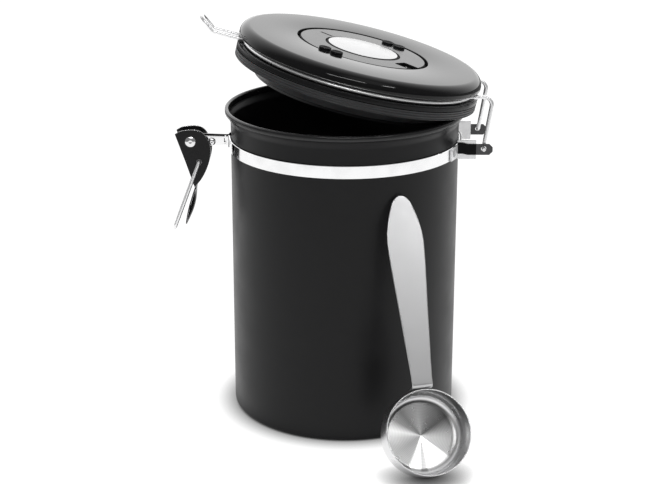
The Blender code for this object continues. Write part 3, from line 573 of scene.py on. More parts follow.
def wire(name, path, radius, stuff, body, solid, place):
    """A round wire along a path, its ends slightly rounded."""
    curve = bpy.data.curves.new(name, "CURVE")
    settle(curve, dimensions="3D", bevel_depth=radius, bevel_resolution=6, use_fill_caps=True)
    spline = curve.splines.new("POLY")
    spline.points.add(len(path) - 1)
    for held, point in zip(spline.points, path):
        held.co = (*point, 1.0)
    spline.points[0].radius = 0.85
    spline.points[-1].radius = 0.85
    spline.use_smooth = True
    shape = placed(name, curve)
    bm = bmesh.new()
    bm.from_mesh(evaluated(shape))
    bpy.data.objects.remove(shape, do_unlink=True)
    bmesh.ops.remove_doubles(bm, verts=bm.verts, dist=weld_distance)
    return finished(name, bm, stuff, body, [solid], place, 60.0)


loop_path = filleted(
    [
        Vector((0.0, y, z)) for y, z in (
            (-loop_end, 0.0), (-loop_half, 0.0), (-loop_half, -loop_length), (loop_half, -loop_length),
            (loop_half, 0.0), (loop_end, 0.0),
        )
    ],
    [0.0, loop_radius, loop_corner, loop_corner, loop_radius, 0.0],
)
loop_place = Matrix.Translation((lever_x + loop_forward, 0.0, lever_z - loop_drop))
loop_place = loop_place @ Matrix.Rotation(loop_angle, 4, "Y")
wire("loop_wire", loop_path, loop_radius, wire_steel, "loop", "latch_loop", loop_place)

# The hinge bracket: a pressed steel plate curved round the strap, with a window at each end and a
# tall bright cheek at each side. A longer dark ear lies outside each cheek, bored for the bail and
# bevelled at its tip.
hinge_x = 74.2 * MM
hinge_z = 153.2 * MM
hinge_hole = 1.4 * MM
bracket_thickness = 0.8 * MM
bracket_angle = radians(28.0)
hinge_ear_half_gap = 20.2 * MM
hinge_ear_thickness = 1.0 * MM
hinge_ear_width = 6.0 * MM
hinge_ear_sink = 0.5 * MM
hinge_root_lift = 0.7 * MM
cheek_reach = 4.0 * MM
cheek_height = 10.4 * MM
hinge_ear_fold = 5.6 * MM
hinge_tip_reach = 4.8 * MM
hinge_tip_bevel = 1.8 * MM
root_window_angle = radians(24.4)
root_window_width = 3.0 * MM
root_window_height = 3.4 * MM
plate_inner = strap_inner + strap_thickness + fit_gap
plate_middle = plate_inner + bracket_thickness / 2
plate_outer = plate_inner + bracket_thickness
plate_steps = 40
bracket_steel = finish(
    "bracket_steel", (0.92, 0.92, 0.925), (0.36, 0.46), 900.0, 0.06, 0.06, 0.7, metallic=0.7
)
plate_path = [on_circle(plate_middle, bracket_angle * share) for share in spread(-1, 1, plate_steps)]
plate_spans = [(strap_low, strap_high)] * len(plate_path)
bracket = finished(
    "hinge_plate", strip(plate_path, plate_spans, bracket_thickness), bracket_steel, "canister",
    ["hinge_bracket"],
)
cheek_low = strap_height - cheek_height / 2 + hinge_root_lift
cheek_span = (cheek_low, cheek_low + cheek_height)
cheek_middle = hinge_ear_half_gap - hinge_ear_thickness / 2 + fit_gap * 1.5
ear_low = hinge_z - hinge_ear_sink - hinge_ear_width / 2
ear_high = ear_low + hinge_ear_width
ear_tip_x = hinge_x + hinge_tip_reach
hinge_ear_middle = hinge_ear_half_gap + hinge_ear_thickness / 2
root_x = sqrt(plate_middle**2 - hinge_ear_middle**2)
ear_points = [
    (root_x, fit_gap), (root_x + hinge_ear_fold / 2, fit_gap), (root_x + hinge_ear_fold, 0.0),
    (hinge_x - cheek_reach, 0.0), (ear_tip_x - hinge_tip_bevel, 0.0), (ear_tip_x, 0.0),
]
ear_spans = [(ear_low + hinge_root_lift, ear_high + hinge_root_lift)] * 2 + [(ear_low, ear_high)] * 3
ear_spans.append((ear_low + hinge_tip_bevel, ear_high - hinge_tip_bevel))
ear_strips = []
for side in (-1, 1):
    cheek_path = [Vector((x, side * cheek_middle, 0.0)) for x in (root_x, hinge_x - cheek_reach)]
    combine(bracket, strip(cheek_path, [cheek_span] * 2, hinge_ear_thickness), "UNION")
    ear_path = [Vector((x, side * (hinge_ear_middle + out), 0.0)) for x, out in ear_points]
    ear_strips.append(strip(ear_path, ear_spans, hinge_ear_thickness))
window_outline = oblong(
    plate_inner - cut_overrun, plate_outer + cut_overrun,
    strap_height - root_window_height / 2, strap_height + root_window_height / 2,
)
for side in (-1, 1):
    window = prism(window_outline, -root_window_width / 2, root_window_width / 2)
    combine(bracket, window, "DIFFERENCE", turn=side * root_window_angle)
even_shading(bracket, 35.0)
ears = finished("hinge_ears", ear_strips[0], dark_steel, "canister", [])
combine(ears, ear_strips[1], "UNION")
bore = pin_cutter(hinge_hole, hinge_ear_half_gap + hinge_ear_thickness + cut_overrun)
combine(ears, bore, "DIFFERENCE", (hinge_x, 0.0, hinge_z))
# The ears' roots, where they lie beside the cheeks, are painted matte black as shade between ear and
# cheek.
refinish(ears, matte_black_and_painted_shade, lambda middle, normal: middle.x < hinge_x - cheek_reach)
even_shading(ears, 35.0)

# The lid cover: a black glossy moulding with a flat top, a full round shoulder and a skirt that
# turns in over the bail. The dial lies in a shallow well in its middle.
lid_opening = radians(13.15)
lid_place = Matrix.Translation((hinge_x, 0.0, hinge_z)) @ Matrix.Rotation(lid_opening, 4, "Y")
lid_place = lid_place @ Matrix.Translation((-hinge_x, 0.0, -hinge_z))
lid_radius = 66.4 * MM
lid_top = 187.0 * MM
cover_radius = lid_radius + fit_gap / 3
cover_height = 7.7 * MM
cover_side = 1.3 * MM
cover_wall = 2.0 * MM
cover_round = 5.0 * MM
cover_lip = 4.4 * MM
well_radius = 36.0 * MM
well_depth = 3.2 * MM
well_edge = 0.35 * MM
groove_floor = 61.1 * MM
hub_wall = 2.7 * MM
groove_height = 2.85 * MM
flange_thickness = 2.45 * MM
cover_bottom = lid_top - cover_height
flange_top = cover_bottom - groove_height
flange_bottom = flange_top - flange_thickness
gasket_top = flange_bottom - fit_gap
well_floor = lid_top - well_depth
locating_wall = groove_floor - hub_wall
lacquer = {"IOR": 1.3, "Coat Weight": 0.1, "Coat Roughness": 0.05}
gloss_black = finish(
    "gloss_black", (0.003, 0.003, 0.0032), (0.05, 0.08), 400.0, 0.01, 0.006, even=lacquer
)
cover_profile = [
    (0.0, well_floor), (well_radius, well_floor),
    *arc((well_radius + well_edge, lid_top - well_edge), well_edge, 180, 90, 5),
    *arc((cover_radius - cover_round, lid_top - cover_round), cover_round, 90, 0, 16),
    *arc((cover_radius - well_edge, cover_bottom + cover_side + well_edge), well_edge, 0, -80, 4),
    (cover_radius - cover_round / 3, cover_bottom + cover_side / 3),
    (cover_radius - cover_lip, cover_bottom), (locating_wall, cover_bottom),
    (locating_wall, lid_top - cover_round), (locating_wall - cover_wall, lid_top - cover_wall),
    (well_radius + cover_wall, lid_top - cover_wall),
    (well_radius + cover_wall, well_floor - cover_wall), (0.0, well_floor - cover_wall),
]


def lid_piece(name, profile, stuff, solid, body="lid"):
    """A piece turned about the lid's axis and tilted with the lid."""
    return finished(name, turned(profile, fine_steps), stuff, body, [solid], lid_place)


cover = lid_piece("cover_shell", cover_profile, gloss_black, "lid_cover")
# The well's wall is painted matte black as the shade in the gap round the dial.
refinish(
    cover, matte_black_and_painted_shade,
    lambda middle, normal: middle.xy.length < well_radius + well_edge / 2 and middle.z > well_floor
    and abs(normal.z) < 0.6,
)

# The lid base: the black moulding under the bail. A hub stands in the bail's groove, a flange lies
# on the gasket, and a hollow plug reaches into the mouth with a boss for the valve in its middle.
lid_plate = 2.0 * MM
plug_radius = 53.7 * MM
plug_wall = 2.2 * MM
plug_lip = 1.1 * MM
plug_bottom = gasket_top - 9.7 * MM - fit_gap
plug_lip_height = body_wall + plug_lip / 2
valve_boss_radius = 12.6 * MM
valve_boss_wall = 1.6 * MM
valve_boss_depth = 5.0 * MM
valve_stem = 2.0 * MM
vent_radius = 1.0 * MM
vent_place = 5.2 * MM
vent_count = 6
boss_bottom = flange_bottom - valve_boss_depth
boss_inner = valve_boss_radius - valve_boss_wall
plug_foot = plug_bottom - plug_lip_height
plug_inner = plug_radius - plug_wall
base_black = finish(
    "moulded_black", (0.007, 0.007, 0.0075), (0.18, 0.28), 600.0, 0.05, 0.008,
    even={"Specular IOR Level": 0.14},
)
base_profile = [
    (groove_floor, cover_bottom - fit_gap), (groove_floor, flange_top),
    *arc((lid_radius - well_edge, flange_top - well_edge), well_edge, 90, 0, 5),
    *arc((lid_radius - well_edge, flange_bottom + well_edge), well_edge, 0, -90, 5),
    (plug_radius, flange_bottom), (plug_radius, plug_bottom), (plug_radius + plug_lip, plug_bottom),
    (plug_radius + plug_lip / 2, plug_foot), (plug_inner, plug_foot), (plug_inner, flange_bottom),
    (valve_boss_radius, flange_bottom), (valve_boss_radius, boss_bottom), (boss_inner, boss_bottom),
    (boss_inner, flange_bottom), (valve_stem + fit_gap, flange_bottom),
    (valve_stem + fit_gap, flange_bottom + lid_plate), (locating_wall, flange_bottom + lid_plate),
    (locating_wall, cover_bottom - fit_gap),
]
plug = lid_piece("lid_plug", base_profile, base_black, "lid_base")
vent_reach = lid_plate + cut_overrun
for index in range(vent_count):
    angle = 2 * pi * index / vent_count
    vent = turned(oblong(0.0, vent_radius, vent_reach, -vent_reach), 20)
    combine(plug, vent, "DIFFERENCE", on_circle(vent_place, angle, flange_bottom))
plug.data.set_sharp_from_angle(angle=radians(32.0))

# The gasket: one band of smoke-grey silicone round the plug. Its outer lip hangs over the rim and
# fine ribs run round the band. Inside the mouth it is turned to an arc about the hinge.
gasket_bottom = rim_height + fit_gap
gasket_drop = 2.1 * MM
gasket_cone_depth = 9.7 * MM
lip_gap = 0.6 * MM
gasket_lip_inner = rim_reach + lip_gap
rib_depth = 0.16 * MM
rib_count = 3
skirt_bottom = gasket_bottom - gasket_drop
cone_bottom = gasket_top - gasket_cone_depth
swing_radius = hypot(hinge_x - rim_reach + 2 * rim_roll, rim_height - hinge_z) + lip_gap
gasket_profile = []
for share in spread(0, 1, 30):
    wave = 0.5 - 0.5 * cos(2 * pi * rib_count * share)
    level = gasket_top + (skirt_bottom + fit_gap - gasket_top) * share
    gasket_profile.append((lid_radius - rib_depth * wave, level))
gasket_profile += [
    (lid_radius - fit_gap, skirt_bottom), (gasket_lip_inner + fit_gap, skirt_bottom),
    (gasket_lip_inner, skirt_bottom + fit_gap), (gasket_lip_inner, gasket_bottom),
]
for height in spread(gasket_bottom, cone_bottom, 8):
    gasket_profile.append((hinge_x - sqrt(swing_radius**2 - (height - hinge_z) ** 2), height))
gasket_profile += [(plug_radius + fit_gap, cone_bottom), (plug_radius + fit_gap, gasket_top)]
silicone = finish(
    "smoke_silicone", (0.02, 0.02, 0.021), (0.3, 0.42), 500.0, 0.06, 0.03,
    even={"Specular IOR Level": 0.25, "Subsurface Weight": 0.1, "Subsurface Scale": 1.0 * MM},
)
lid_piece("gasket_band", gasket_profile, silicone, "lid_gasket")

# The bail: one length of bright wire. It starts in the hinge eyes, rises behind the lid, bends
# over into the groove, runs round it on both sides and leaves as the bent nose for the latch loop.
wire_radius = 1.1 * MM
bail_stub = 2.6 * MM
bail_lean = 2.0 * MM
bail_rise = 28.2 * MM
bail_top_bend = 4.2 * MM
bail_bend = 3.0 * MM
nose_half_width = 4.4 * MM
nose_rise = 6.2 * MM
nose_elbow = 17.8 * MM
nose_slope = 0.45 * MM
groove_middle = flange_top + groove_height / 2
bail_spread = hinge_ear_half_gap - fit_gap - wire_radius
ring_radius = groove_floor + fit_gap + wire_radius
junction_angle = asin(bail_spread / ring_radius)
nose_angle = pi - asin(nose_half_width / ring_radius)
groove_ease = 1.15 * bail_bend / ring_radius
elbow_x = -ring_radius - nose_elbow
nose_tip_x = elbow_x - nose_half_width * 1.7
stub_end = hinge_ear_half_gap + hinge_ear_thickness + bail_stub
front_points = [
    Vector((hinge_x, -stub_end, hinge_z)), Vector((hinge_x, -bail_spread, hinge_z)),
    Vector((hinge_x - bail_lean, -bail_spread, hinge_z + bail_rise)),
    Vector((ring_radius * cos(junction_angle), -bail_spread, groove_middle)),
]
front_radii = [0.0, wire_radius * 1.3, bail_top_bend, bail_bend]
groove_steps = 90
arc_start = junction_angle + groove_ease
arc_end = nose_angle - groove_ease
for angle in spread(arc_start, arc_end, groove_steps):
    front_points.append(on_circle(ring_radius, -angle, groove_middle))
    front_radii.append(0.0)
front_points += [
    Vector((-sqrt(ring_radius**2 - nose_half_width**2), -nose_half_width, groove_middle)),
    Vector((elbow_x, -nose_half_width, groove_middle + nose_slope)),
    Vector((nose_tip_x, -nose_half_width, groove_middle + nose_slope + nose_rise)),
]
front_radii += [bail_bend * 0.9, bail_bend, nose_half_width * 0.98]
rear_points = [Vector((point.x, -point.y, point.z)) for point in reversed(front_points)]
bail_path = filleted(front_points + rear_points, front_radii + front_radii[::-1])
wire("bail", bail_path, wire_radius, wire_steel, "lid", "bail_wire", lid_place)

# The number wheel: a dark printed ring on the floor of the well, numbered like the days of a
# month. One number at a time shows through the dial's window.
wheel_radius = 34.0 * MM
wheel_thickness = 0.8 * MM
hub_radius = 20.3 * MM
hub_lip = 2.3 * MM
hub_stem = hub_radius - hub_lip
wheel_bottom = well_floor + fit_gap
window_angle = radians(-37.5)
day_count = 31
day_place = 27.9 * MM
day_size = 4.6 * MM
day_relief = 0.05 * MM
wheel_black = finish("wheel_black", (0.02, 0.02, 0.021), (0.45, 0.6), 800.0, 0.08, 0.03)
print_white = finish("printed_white", (0.82, 0.82, 0.8), (0.45, 0.55), 1500.0, 0.02, 0.05, 0.6)
wheel_top = wheel_bottom + wheel_thickness
wheel_profile = oblong(hub_stem + fit_gap, wheel_radius, wheel_bottom, wheel_top)
lid_piece("number_ring", wheel_profile, wheel_black, "number_wheel")
days = bmesh.new()
for day in range(1, day_count + 1):
    letters = settle(
        bpy.data.curves.new("day", "FONT"), body=str(day), size=day_size, align_x="CENTER",
        align_y="CENTER", extrude=day_relief, resolution_u=4,
    )
    shape = placed("day", letters)
    outline = evaluated(shape)
    bpy.data.objects.remove(shape, do_unlink=True)
    angle = window_angle + 2 * pi * (day - 12) / day_count
    centre = on_circle(day_place, angle, wheel_top)
    outline.transform(Matrix.Translation(centre) @ Matrix.Rotation(angle - window_angle, 4, "Z"))
    days.from_mesh(outline)
bmesh.ops.remove_doubles(days, verts=days.verts, dist=weld_distance)
numbers = finished("day_numbers", days, print_white, "lid", [], lid_place)

# The date dial: a glossy disc that turns round the hub under a finger. It has a window cut in from
# its edge, two pairs of dished grip nubs, and a fine moulded line opposite the window.
dial_sunk = 0.2 * MM
dial_thickness = 1.5 * MM
dial_lip = 0.4 * MM
dial_gap = 1.5 * MM
window_half_width = 4.8 * MM
window_inner = 24.8 * MM
grip_angle = radians(55.5)
grip_place = 30.8 * MM
grip_half_gap = 3.8 * MM
grip_radius = 3.3 * MM
grip_rise = 1.1 * MM
grip_dish = 0.3 * MM
mark_inner = 21.6 * MM
mark_outer = 29.4 * MM
mark_width = 1.6 * MM
mark_depth = 0.25 * MM
dial_top = lid_top - dial_sunk
dial_bottom = dial_top - dial_thickness
dial_radius = well_radius - dial_gap
dial_edge = 0.5 * MM
dial_profile = [
    (dial_radius - dial_edge, dial_top), (dial_radius, dial_top - dial_edge),
    (dial_radius, dial_bottom), (hub_stem + dial_lip, dial_bottom),
    (hub_stem + dial_lip, dial_bottom + dial_lip), (hub_radius + fit_gap, dial_bottom + dial_lip),
    (hub_radius + fit_gap, dial_top),
]
dial_black = finish("dial_black", (0.006, 0.006, 0.0065), (0.13, 0.2), 500.0, 0.03, 0.012, even=lacquer)
dial = lid_piece("dial", dial_profile, dial_black, "date_dial", "dial")
window_corner = window_half_width / 4
window_cut = [(dial_radius + cut_overrun, side * window_half_width) for side in (-1, 1)]
for side, start in ((1, 90), (-1, 180)):
    centre = (window_inner + window_corner, side * (window_half_width - window_corner))
    window_cut += arc(centre, window_corner, start, start + 90, 8)
window = prism(window_cut, dial_bottom - cut_overrun, dial_top + cut_overrun, "Z")
combine(dial, window, "DIFFERENCE", turn=window_angle)
mark_cut = oblong(-mark_outer, -mark_inner, -mark_width / 2, mark_width / 2)
mark = prism(mark_cut, dial_top - mark_depth, dial_top + cut_overrun, "Z")
combine(dial, mark, "DIFFERENCE", turn=window_angle)
grip_top = dial_top + grip_rise
grip_foot = dial_top - dial_thickness / 2
grip_profile = [(0.0, grip_top - grip_dish)]
for share in (0.25, 0.45, 0.6, 0.7, 0.78):
    grip_profile.append((grip_radius * share, grip_top - grip_dish * (1 - (share / 0.8) ** 3)))
grip_profile += arc((grip_radius - dial_sunk, grip_top - dial_sunk), dial_sunk, 90, 0, 5)
grip_profile += [(grip_radius, grip_foot), (0.0, grip_foot)]
across = grip_angle + pi / 2
for end in (-1, 1):
    for side in (-1, 1):
        place = on_circle(end * grip_place, grip_angle) + on_circle(side * grip_half_gap, across)
        combine(dial, turned(grip_profile, pin_steps), "UNION", place)
# The dial's side, edge chamfer, underside, window walls and the groove of the line are painted matte
# black as shade in the gap and the groove; the dished tops of the grip nubs take the same matte black as
# their own finish.
refinish(
    dial, matte_black_and_painted_shade,
    lambda middle, normal: middle.z < dial_top - mark_depth / 3
    or middle.z > grip_top - 1.5 * grip_dish and normal.z > 0.7,
)
dial.data.set_sharp_from_angle(angle=radians(32.0))

# The hub: a black turned button that holds the dial down. Its raised rim frames the badge disc,
# which is bright metal with a fine circular finish and is left bare.
badge_radius = 19.0 * MM
badge_thickness = 0.55 * MM
hub_edge = 0.15 * MM
badge_edge = 0.12 * MM
hub_top = dial_top + fit_gap
hub_slope = 0.45 * MM
badge_floor = hub_top - badge_thickness - fit_gap
hub_profile = [
    (hub_radius - hub_edge, hub_top - hub_slope), (hub_radius, hub_top - hub_slope - hub_edge),
    (hub_radius, dial_bottom + dial_lip + fit_gap), (hub_stem, dial_bottom + dial_lip + fit_gap),
    (hub_stem, well_floor + fit_gap), (0.0, well_floor + fit_gap), (0.0, badge_floor),
    (badge_radius + fit_gap, badge_floor), (badge_radius + fit_gap, hub_top - hub_edge),
    (badge_radius + fit_gap + hub_edge, hub_top - hub_edge),
]
lid_piece("hub_button", hub_profile, matte_black_and_painted_shade, "dial_hub")
badge_metal = finish(
    "badge_metal", (0.57, 0.57, 0.575), (0.18, 0.26), 1800.0, 0.03, 0.05, 0.6, metallic=1.0
)
badge_bottom = badge_floor + fit_gap
badge_profile = [
    (0.0, badge_bottom + badge_thickness),
    *arc((badge_radius - badge_edge, badge_bottom + badge_thickness - badge_edge), badge_edge, 90, 0, 4),
    (badge_radius, badge_bottom), (0.0, badge_bottom),
]
lid_piece("bare_badge", badge_profile, badge_metal, "badge_disc")

# The one-way valve: a pale silicone umbrella over the vents, and the slotted black cap round the
# boss that keeps it clean. Both keep their turned solids and take a finish of their own.
pale_silicone = finish("pale_silicone", (0.6, 0.6, 0.58), (0.4, 0.5), 700.0, 0.05, 0.05, 0.8)
for solid, stuff in (("valve_disc", pale_silicone), ("valve_cap", base_black)):
    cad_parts[solid].data.materials.clear()
    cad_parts[solid].data.materials.append(stuff)

# The scoop bowl: pressed from thin steel sheet, polished outside. The inside of its floor is turned, and
# its light fans
# are a painted reflection: lighter and darker wedges about its axis in its colour. The rim is a bare thin
# edge.
scoop_radius = 22.3 * MM
scoop_depth = 18.6 * MM
scoop_corner = 5.4 * MM
scoop_wall = 0.6 * MM
scoop_side = 43.84 * MM
scoop_forward = 105.12 * MM
scoop_turn = radians(13.4)
scoop_tilt = radians(30.35)
scoop_roll = radians(1.6)
scoop_flat = scoop_radius - scoop_corner
opening_up = sin(scoop_tilt)
bowl_height = opening_up * (scoop_depth - scoop_corner)
bowl_height += scoop_flat * sqrt(1 - opening_up**2) + scoop_corner
scoop_place = Matrix.Translation((scoop_side, -scoop_forward, bowl_height))
scoop_place = scoop_place @ Matrix.Rotation(scoop_turn, 4, "Z")
scoop_place = scoop_place @ Matrix.Rotation(pi / 2 - scoop_tilt, 4, "X")
bowl_colour = (0.78, 0.78, 0.785)
lathe_rings = 400.0
ring_greys = (0.74, 0.94)
# Painted reflection on the bowl's floor: (angle about its axis in degrees, grey) for each stop of the
# wedges.
painted_reflection_fans = [
    (0.0, 0.42), (28.0, 0.32), (60.0, 0.34), (68.0, 0.95), (82.0, 0.95), (85.0, 0.36), (94.0, 0.42),
    (97.0, 1.0), (136.0, 1.0), (141.0, 0.4), (168.0, 0.5), (180.0, 0.44), (210.0, 0.1), (225.0, 0.14),
    (270.0, 0.22), (305.0, 0.1), (325.0, 0.16), (345.0, 0.56), (360.0, 0.42),
]
bowl_steel = finish(
    "turned_steel_with_painted_fans", bowl_colour, (0.27, 0.29), 1500.0, 0.0, 0.05, 0.5, metallic=1.0,
    even={"Anisotropic": 0.6},
)
bowl_tree = bowl_steel.node_tree
bowl_shader = bowl_tree.nodes["Principled BSDF"]


def eased(tree, value, start, end, low, high):
    """A smooth change from low to high while a value goes from start to end."""
    return node(
        tree, "MapRange", "Result",
        {"Value": value, "From Min": start, "From Max": end, "To Min": low, "To Max": high},
        interpolation_type="SMOOTHSTEP",
    )


# The floor's colour holds a painted reflection: the fan table gives lighter and darker wedges by angle
# about the bowl's axis, multiplied by fine lathe rings.
spot = node(bowl_tree, "TexCoord", "Object")
angle = node(bowl_tree, "TexGradient", "Fac", {"Vector": spot}, gradient_type="RADIAL")
painted_fans = node(bowl_tree, "ValToRGB", "Color", {"Fac": angle})
painted_fan_stops = painted_fans.node.color_ramp.elements
for painted_fan_index, (turn, grey) in enumerate(painted_reflection_fans):
    stop = painted_fan_stops[painted_fan_index] if painted_fan_index < 2 else painted_fan_stops.new(1.0)
    stop.position = turn / 360
    stop.color = (grey, grey, grey, 1.0)
rings = node(
    bowl_tree, "TexWave", "Fac", {"Vector": spot, "Scale": lathe_rings}, wave_type="RINGS",
    rings_direction="Z",
)
ring_share = node(
    bowl_tree, "MapRange", "Result", {"Value": rings, "To Min": ring_greys[0], "To Max": ring_greys[1]}
)
painted_fans_and_lathe_rings = node(bowl_tree, "Math", 0, {0: painted_fans, 1: ring_share}, operation="MULTIPLY")
outward = node(bowl_tree, "VectorMath", "Vector", {0: spot, 1: (1.0, 1.0, 0.0)}, operation="MULTIPLY")
reach = node(bowl_tree, "VectorMath", "Value", {0: outward}, operation="LENGTH")
painted_fan_floor_mask = eased(bowl_tree, reach, scoop_flat + scoop_corner / 6, scoop_flat + scoop_corner / 2, 1.0, 0.0)
bowl_colour_with_painted_fans = node(
    bowl_tree, "Mix", "Result", {"Factor": painted_fan_floor_mask, "A": (*bowl_colour, 1.0), "B": painted_fans_and_lathe_rings},
    data_type="RGBA",
)
bowl_tree.links.new(bowl_colour_with_painted_fans, bowl_shader.inputs["Base Color"])
lathe_lay = node(bowl_tree, "Tangent", "Tangent", direction_type="RADIAL", axis="Z")
bowl_tree.links.new(lathe_lay, bowl_shader.inputs["Tangent"])
bowl_centre = (scoop_flat, scoop_corner - scoop_depth)
bowl_profile = [
    *arc((scoop_radius - scoop_wall / 2, -scoop_wall / 2), scoop_wall / 2, 180, 0, 6),
    *arc(bowl_centre, scoop_corner, 0, -90, 12), (0.0, -scoop_depth), (0.0, scoop_wall - scoop_depth),
    *arc(bowl_centre, scoop_corner - scoop_wall, -90, 0, 12),
]
finished("scoop_cup", turned(bowl_profile, fine_steps), bowl_steel, "scoop", ["scoop_bowl"], scoop_place)

# The scoop handle: a flat steel strap, spot-welded to the bowl's side by a bent tab. It widens to
# a rounded end, is brushed lengthways, and its edges are tumbled smooth.
handle_length = 99.0 * MM
handle_thickness = 1.2 * MM
handle_width = 19.5 * MM
handle_tab = 6.0 * MM
handle_bend = 2.0 * MM
handle_edge = 0.5 * MM
handle_lift = radians(6.6)
handle_out = scoop_radius + fit_gap + handle_thickness / 2
handle_line = Vector((0.0, cos(handle_lift), sin(handle_lift)))
handle_steel = finish(
    "brushed_steel", (0.54, 0.54, 0.545), (0.3, 0.34), 900.0, 0.05, 0.03, 0.5, metallic=1.0
)
handle_shares = [
    (0.05, 0.56), (0.12, 0.6), (0.24, 0.68), (0.35, 0.75), (0.455, 0.82), (0.52, 0.87), (0.62, 0.94),
    (0.7, 0.985), (0.76, 1.0), (0.81, 0.96), (0.855, 0.87), (0.9, 0.75), (0.94, 0.61), (0.965, 0.51),
    (0.98, 0.41), (0.992, 0.28), (1.0, 0.1),
]
tab_side = Vector((0.0, handle_out, -handle_tab))
tab_corner = Vector((0.0, handle_out, handle_thickness / 2))
handle_path = filleted(
    [tab_side, tab_corner, tab_corner + handle_line * handle_length * handle_shares[0][0]],
    [0.0, handle_bend, 0.0],
)
handle_widths = [handle_shares[0][1]] * len(handle_path)
for along_share, width_share in handle_shares[1:]:
    handle_path.append(tab_corner + handle_line * handle_length * along_share)
    handle_widths.append(width_share)
handle_rings = []
for index, (point, width_share) in enumerate(zip(handle_path, handle_widths)):
    along = heading(handle_path, index)
    normal = Vector((0.0, -along.z, along.y))
    half = handle_width * width_share / 2
    soft = min(handle_edge, half / 3)
    ring = []
    for turn, across_share, out in ((180, -1, -0.5), (270, 1, -0.5), (0, 1, 0.5), (90, -1, 0.5)):
        for x, level in arc((0.0, 0.0), soft, turn, turn + 90, 3):
            spot = point + normal * (handle_thickness * out - copysign(soft, out) + level)
            ring.append(((half - soft) * across_share + x, spot.y, spot.z))
    handle_rings.append(ring)
handle_place = scoop_place @ Matrix.Rotation(scoop_roll, 4, "Z")
scoop_strap = finished(
    "scoop_strap", loft(handle_rings), handle_steel, "scoop", ["scoop_handle"], handle_place, 50.0
)
even_shading(scoop_strap)

# The studio: a pale floor that runs out to white, soft light from above and both sides, two narrow
# lamps in front that streak the gloss, and the camera at the height that the canister is seen from.
camera_back = 859.9 * MM
camera_up = 388.2 * MM
camera_pitch = radians(18.95)
camera_turn = radians(0.8042)
camera_lens = 90.9
floor_half = 3.0
paper_grey = 0.9
paper_fade = (0.15, 0.7)
table_edge = (0.62, 0.7)
table_glow = 1.1
beyond_glow = 0.2
contact_reach = 12.0 * MM
contact_depth = 1.6
room_light = 0.35
lamp_aim = (0.0, 0.0, 0.1)
lens = settle(bpy.data.cameras.new("camera"), lens=camera_lens, sensor_width=36.0)
camera = placed("camera", lens)
camera.location = (0.0, -camera_back, camera_up)
camera.rotation_euler = (pi / 2 - camera_pitch, 0.0, camera_turn)
bpy.context.scene.camera = camera

floor_mesh = bpy.data.meshes.new("floor")
floor_corners = oblong(-floor_half, floor_half, -floor_half, floor_half)
floor_mesh.from_pydata([(x, y, 0.0) for x, y in floor_corners], [], [(0, 1, 2, 3)])
floor = placed("floor", floor_mesh)
floor_paper = bpy.data.materials.new("floor_paper")
floor_paper.use_nodes = True
tree = floor_paper.node_tree
paper = tree.nodes["Principled BSDF"]
paper.inputs["Base Color"].default_value = (paper_grey, paper_grey, paper_grey, 1.0)
paper.inputs["Roughness"].default_value = 0.9
to_camera = node(tree, "LightPath", "Is Camera Ray")
to_metal = to_camera.node.outputs["Is Glossy Ray"]
middle = node(tree, "TexCoord", "Object")
distance = node(tree, "VectorMath", "Value", {0: middle}, operation="LENGTH")
share = eased(tree, distance, *paper_fade, 0.9, 1.0)
# A painted contact shadow: near the pieces, ambient occlusion dims the floor's glow.
contact = node(tree, "AmbientOcclusion", "AO", {"Distance": contact_reach})
painted_contact_shadow = node(tree, "Math", 0, {0: contact, 1: contact_depth}, operation="POWER")
table = eased(tree, distance, *table_edge, table_glow, beyond_glow)
level = node(tree, "Mix", "Result", {"Factor": to_metal, "A": table_glow, "B": table})
dimmed = node(tree, "Math", 0, {0: level, 1: painted_contact_shadow}, operation="MULTIPLY")
either = node(tree, "Math", 0, {0: to_camera, 1: to_metal}, operation="MAXIMUM")
mixed = node(tree, "Math", 0, {0: either, 1: share}, operation="MULTIPLY")
glow = node(tree, "Emission", 0, {"Strength": dimmed})
blend = node(tree, "MixShader", 0, {"Fac": mixed, 1: paper.outputs[0], 2: glow})
tree.links.new(blend, tree.nodes["Material Output"].inputs["Surface"])
floor_mesh.materials.append(floor_paper)

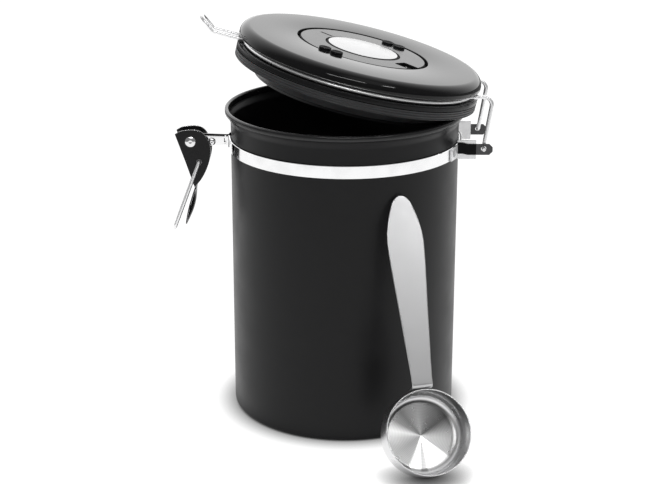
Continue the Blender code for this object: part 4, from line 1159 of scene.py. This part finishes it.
world = bpy.data.worlds.new("studio")
bpy.context.scene.world = world
world.use_nodes = True
sky = world.node_tree
plain = sky.nodes["Background"]
plain.inputs["Color"].default_value = (1.0, 1.0, 1.0, 1.0)
plain.inputs["Strength"].default_value = room_light
towards = node(sky, "TexCoord", "Generated")
wall_way = (0.0, 0.88, 0.47)
wall_light = (0.3, 1.72)
beam_way = (0.315, -0.619, 0.719)
beam_edge = (0.9, 0.985)
beam_light = 0.5
wall = node(sky, "VectorMath", "Value", {0: towards, 1: wall_way}, operation="DOT_PRODUCT")
beam = node(sky, "VectorMath", "Value", {0: towards, 1: beam_way}, operation="DOT_PRODUCT")
wall_share = eased(sky, wall, 0.0, 0.9, *wall_light)
beam_share = eased(sky, beam, *beam_edge, 0.0, beam_light)
both = node(sky, "Math", 0, {0: wall_share, 1: beam_share}, operation="ADD")
room = node(sky, "Background", 0, {"Strength": both})
white = node(sky, "Background", 0, {"Strength": 1.0})
to_camera = node(sky, "LightPath", "Is Camera Ray")
to_metal = to_camera.node.outputs["Is Glossy Ray"]
for_metal = node(sky, "MixShader", 0, {"Fac": to_metal, 1: plain.outputs[0], 2: room})
for_view = node(sky, "MixShader", 0, {"Fac": to_camera, 1: for_metal, 2: white})
sky.links.new(for_view, sky.nodes["World Output"].inputs["Surface"])


def softbox(name, place, width, height, power):
    """A rectangular soft light that points at the canister."""
    lamp = bpy.data.lights.new(name, "AREA")
    settle(lamp, shape="RECTANGLE", size=width, size_y=height, energy=power)
    held = placed(name, lamp)
    held.location = place
    aim = Vector(lamp_aim) - Vector(place)
    held.rotation_euler = aim.to_track_quat("-Z", "Y").to_euler()
    return held


softbox("overhead", (0.0, 0.1, 1.3), 0.9, 0.9, 9.0).visible_glossy = False
for side in (-1, 1):
    softbox("side", (1.1 * side, 0.0, 0.5), 0.35, 0.9, 4.0).visible_glossy = False
softbox("front_strip", (-0.12, -1.3, 0.85), 0.9, 0.09, 3.6)
softbox("front_spot", (1.02, -1.3, 1.1), 0.35, 0.12, 2.4)

bpy.context.scene.view_settings.view_transform = "Standard"
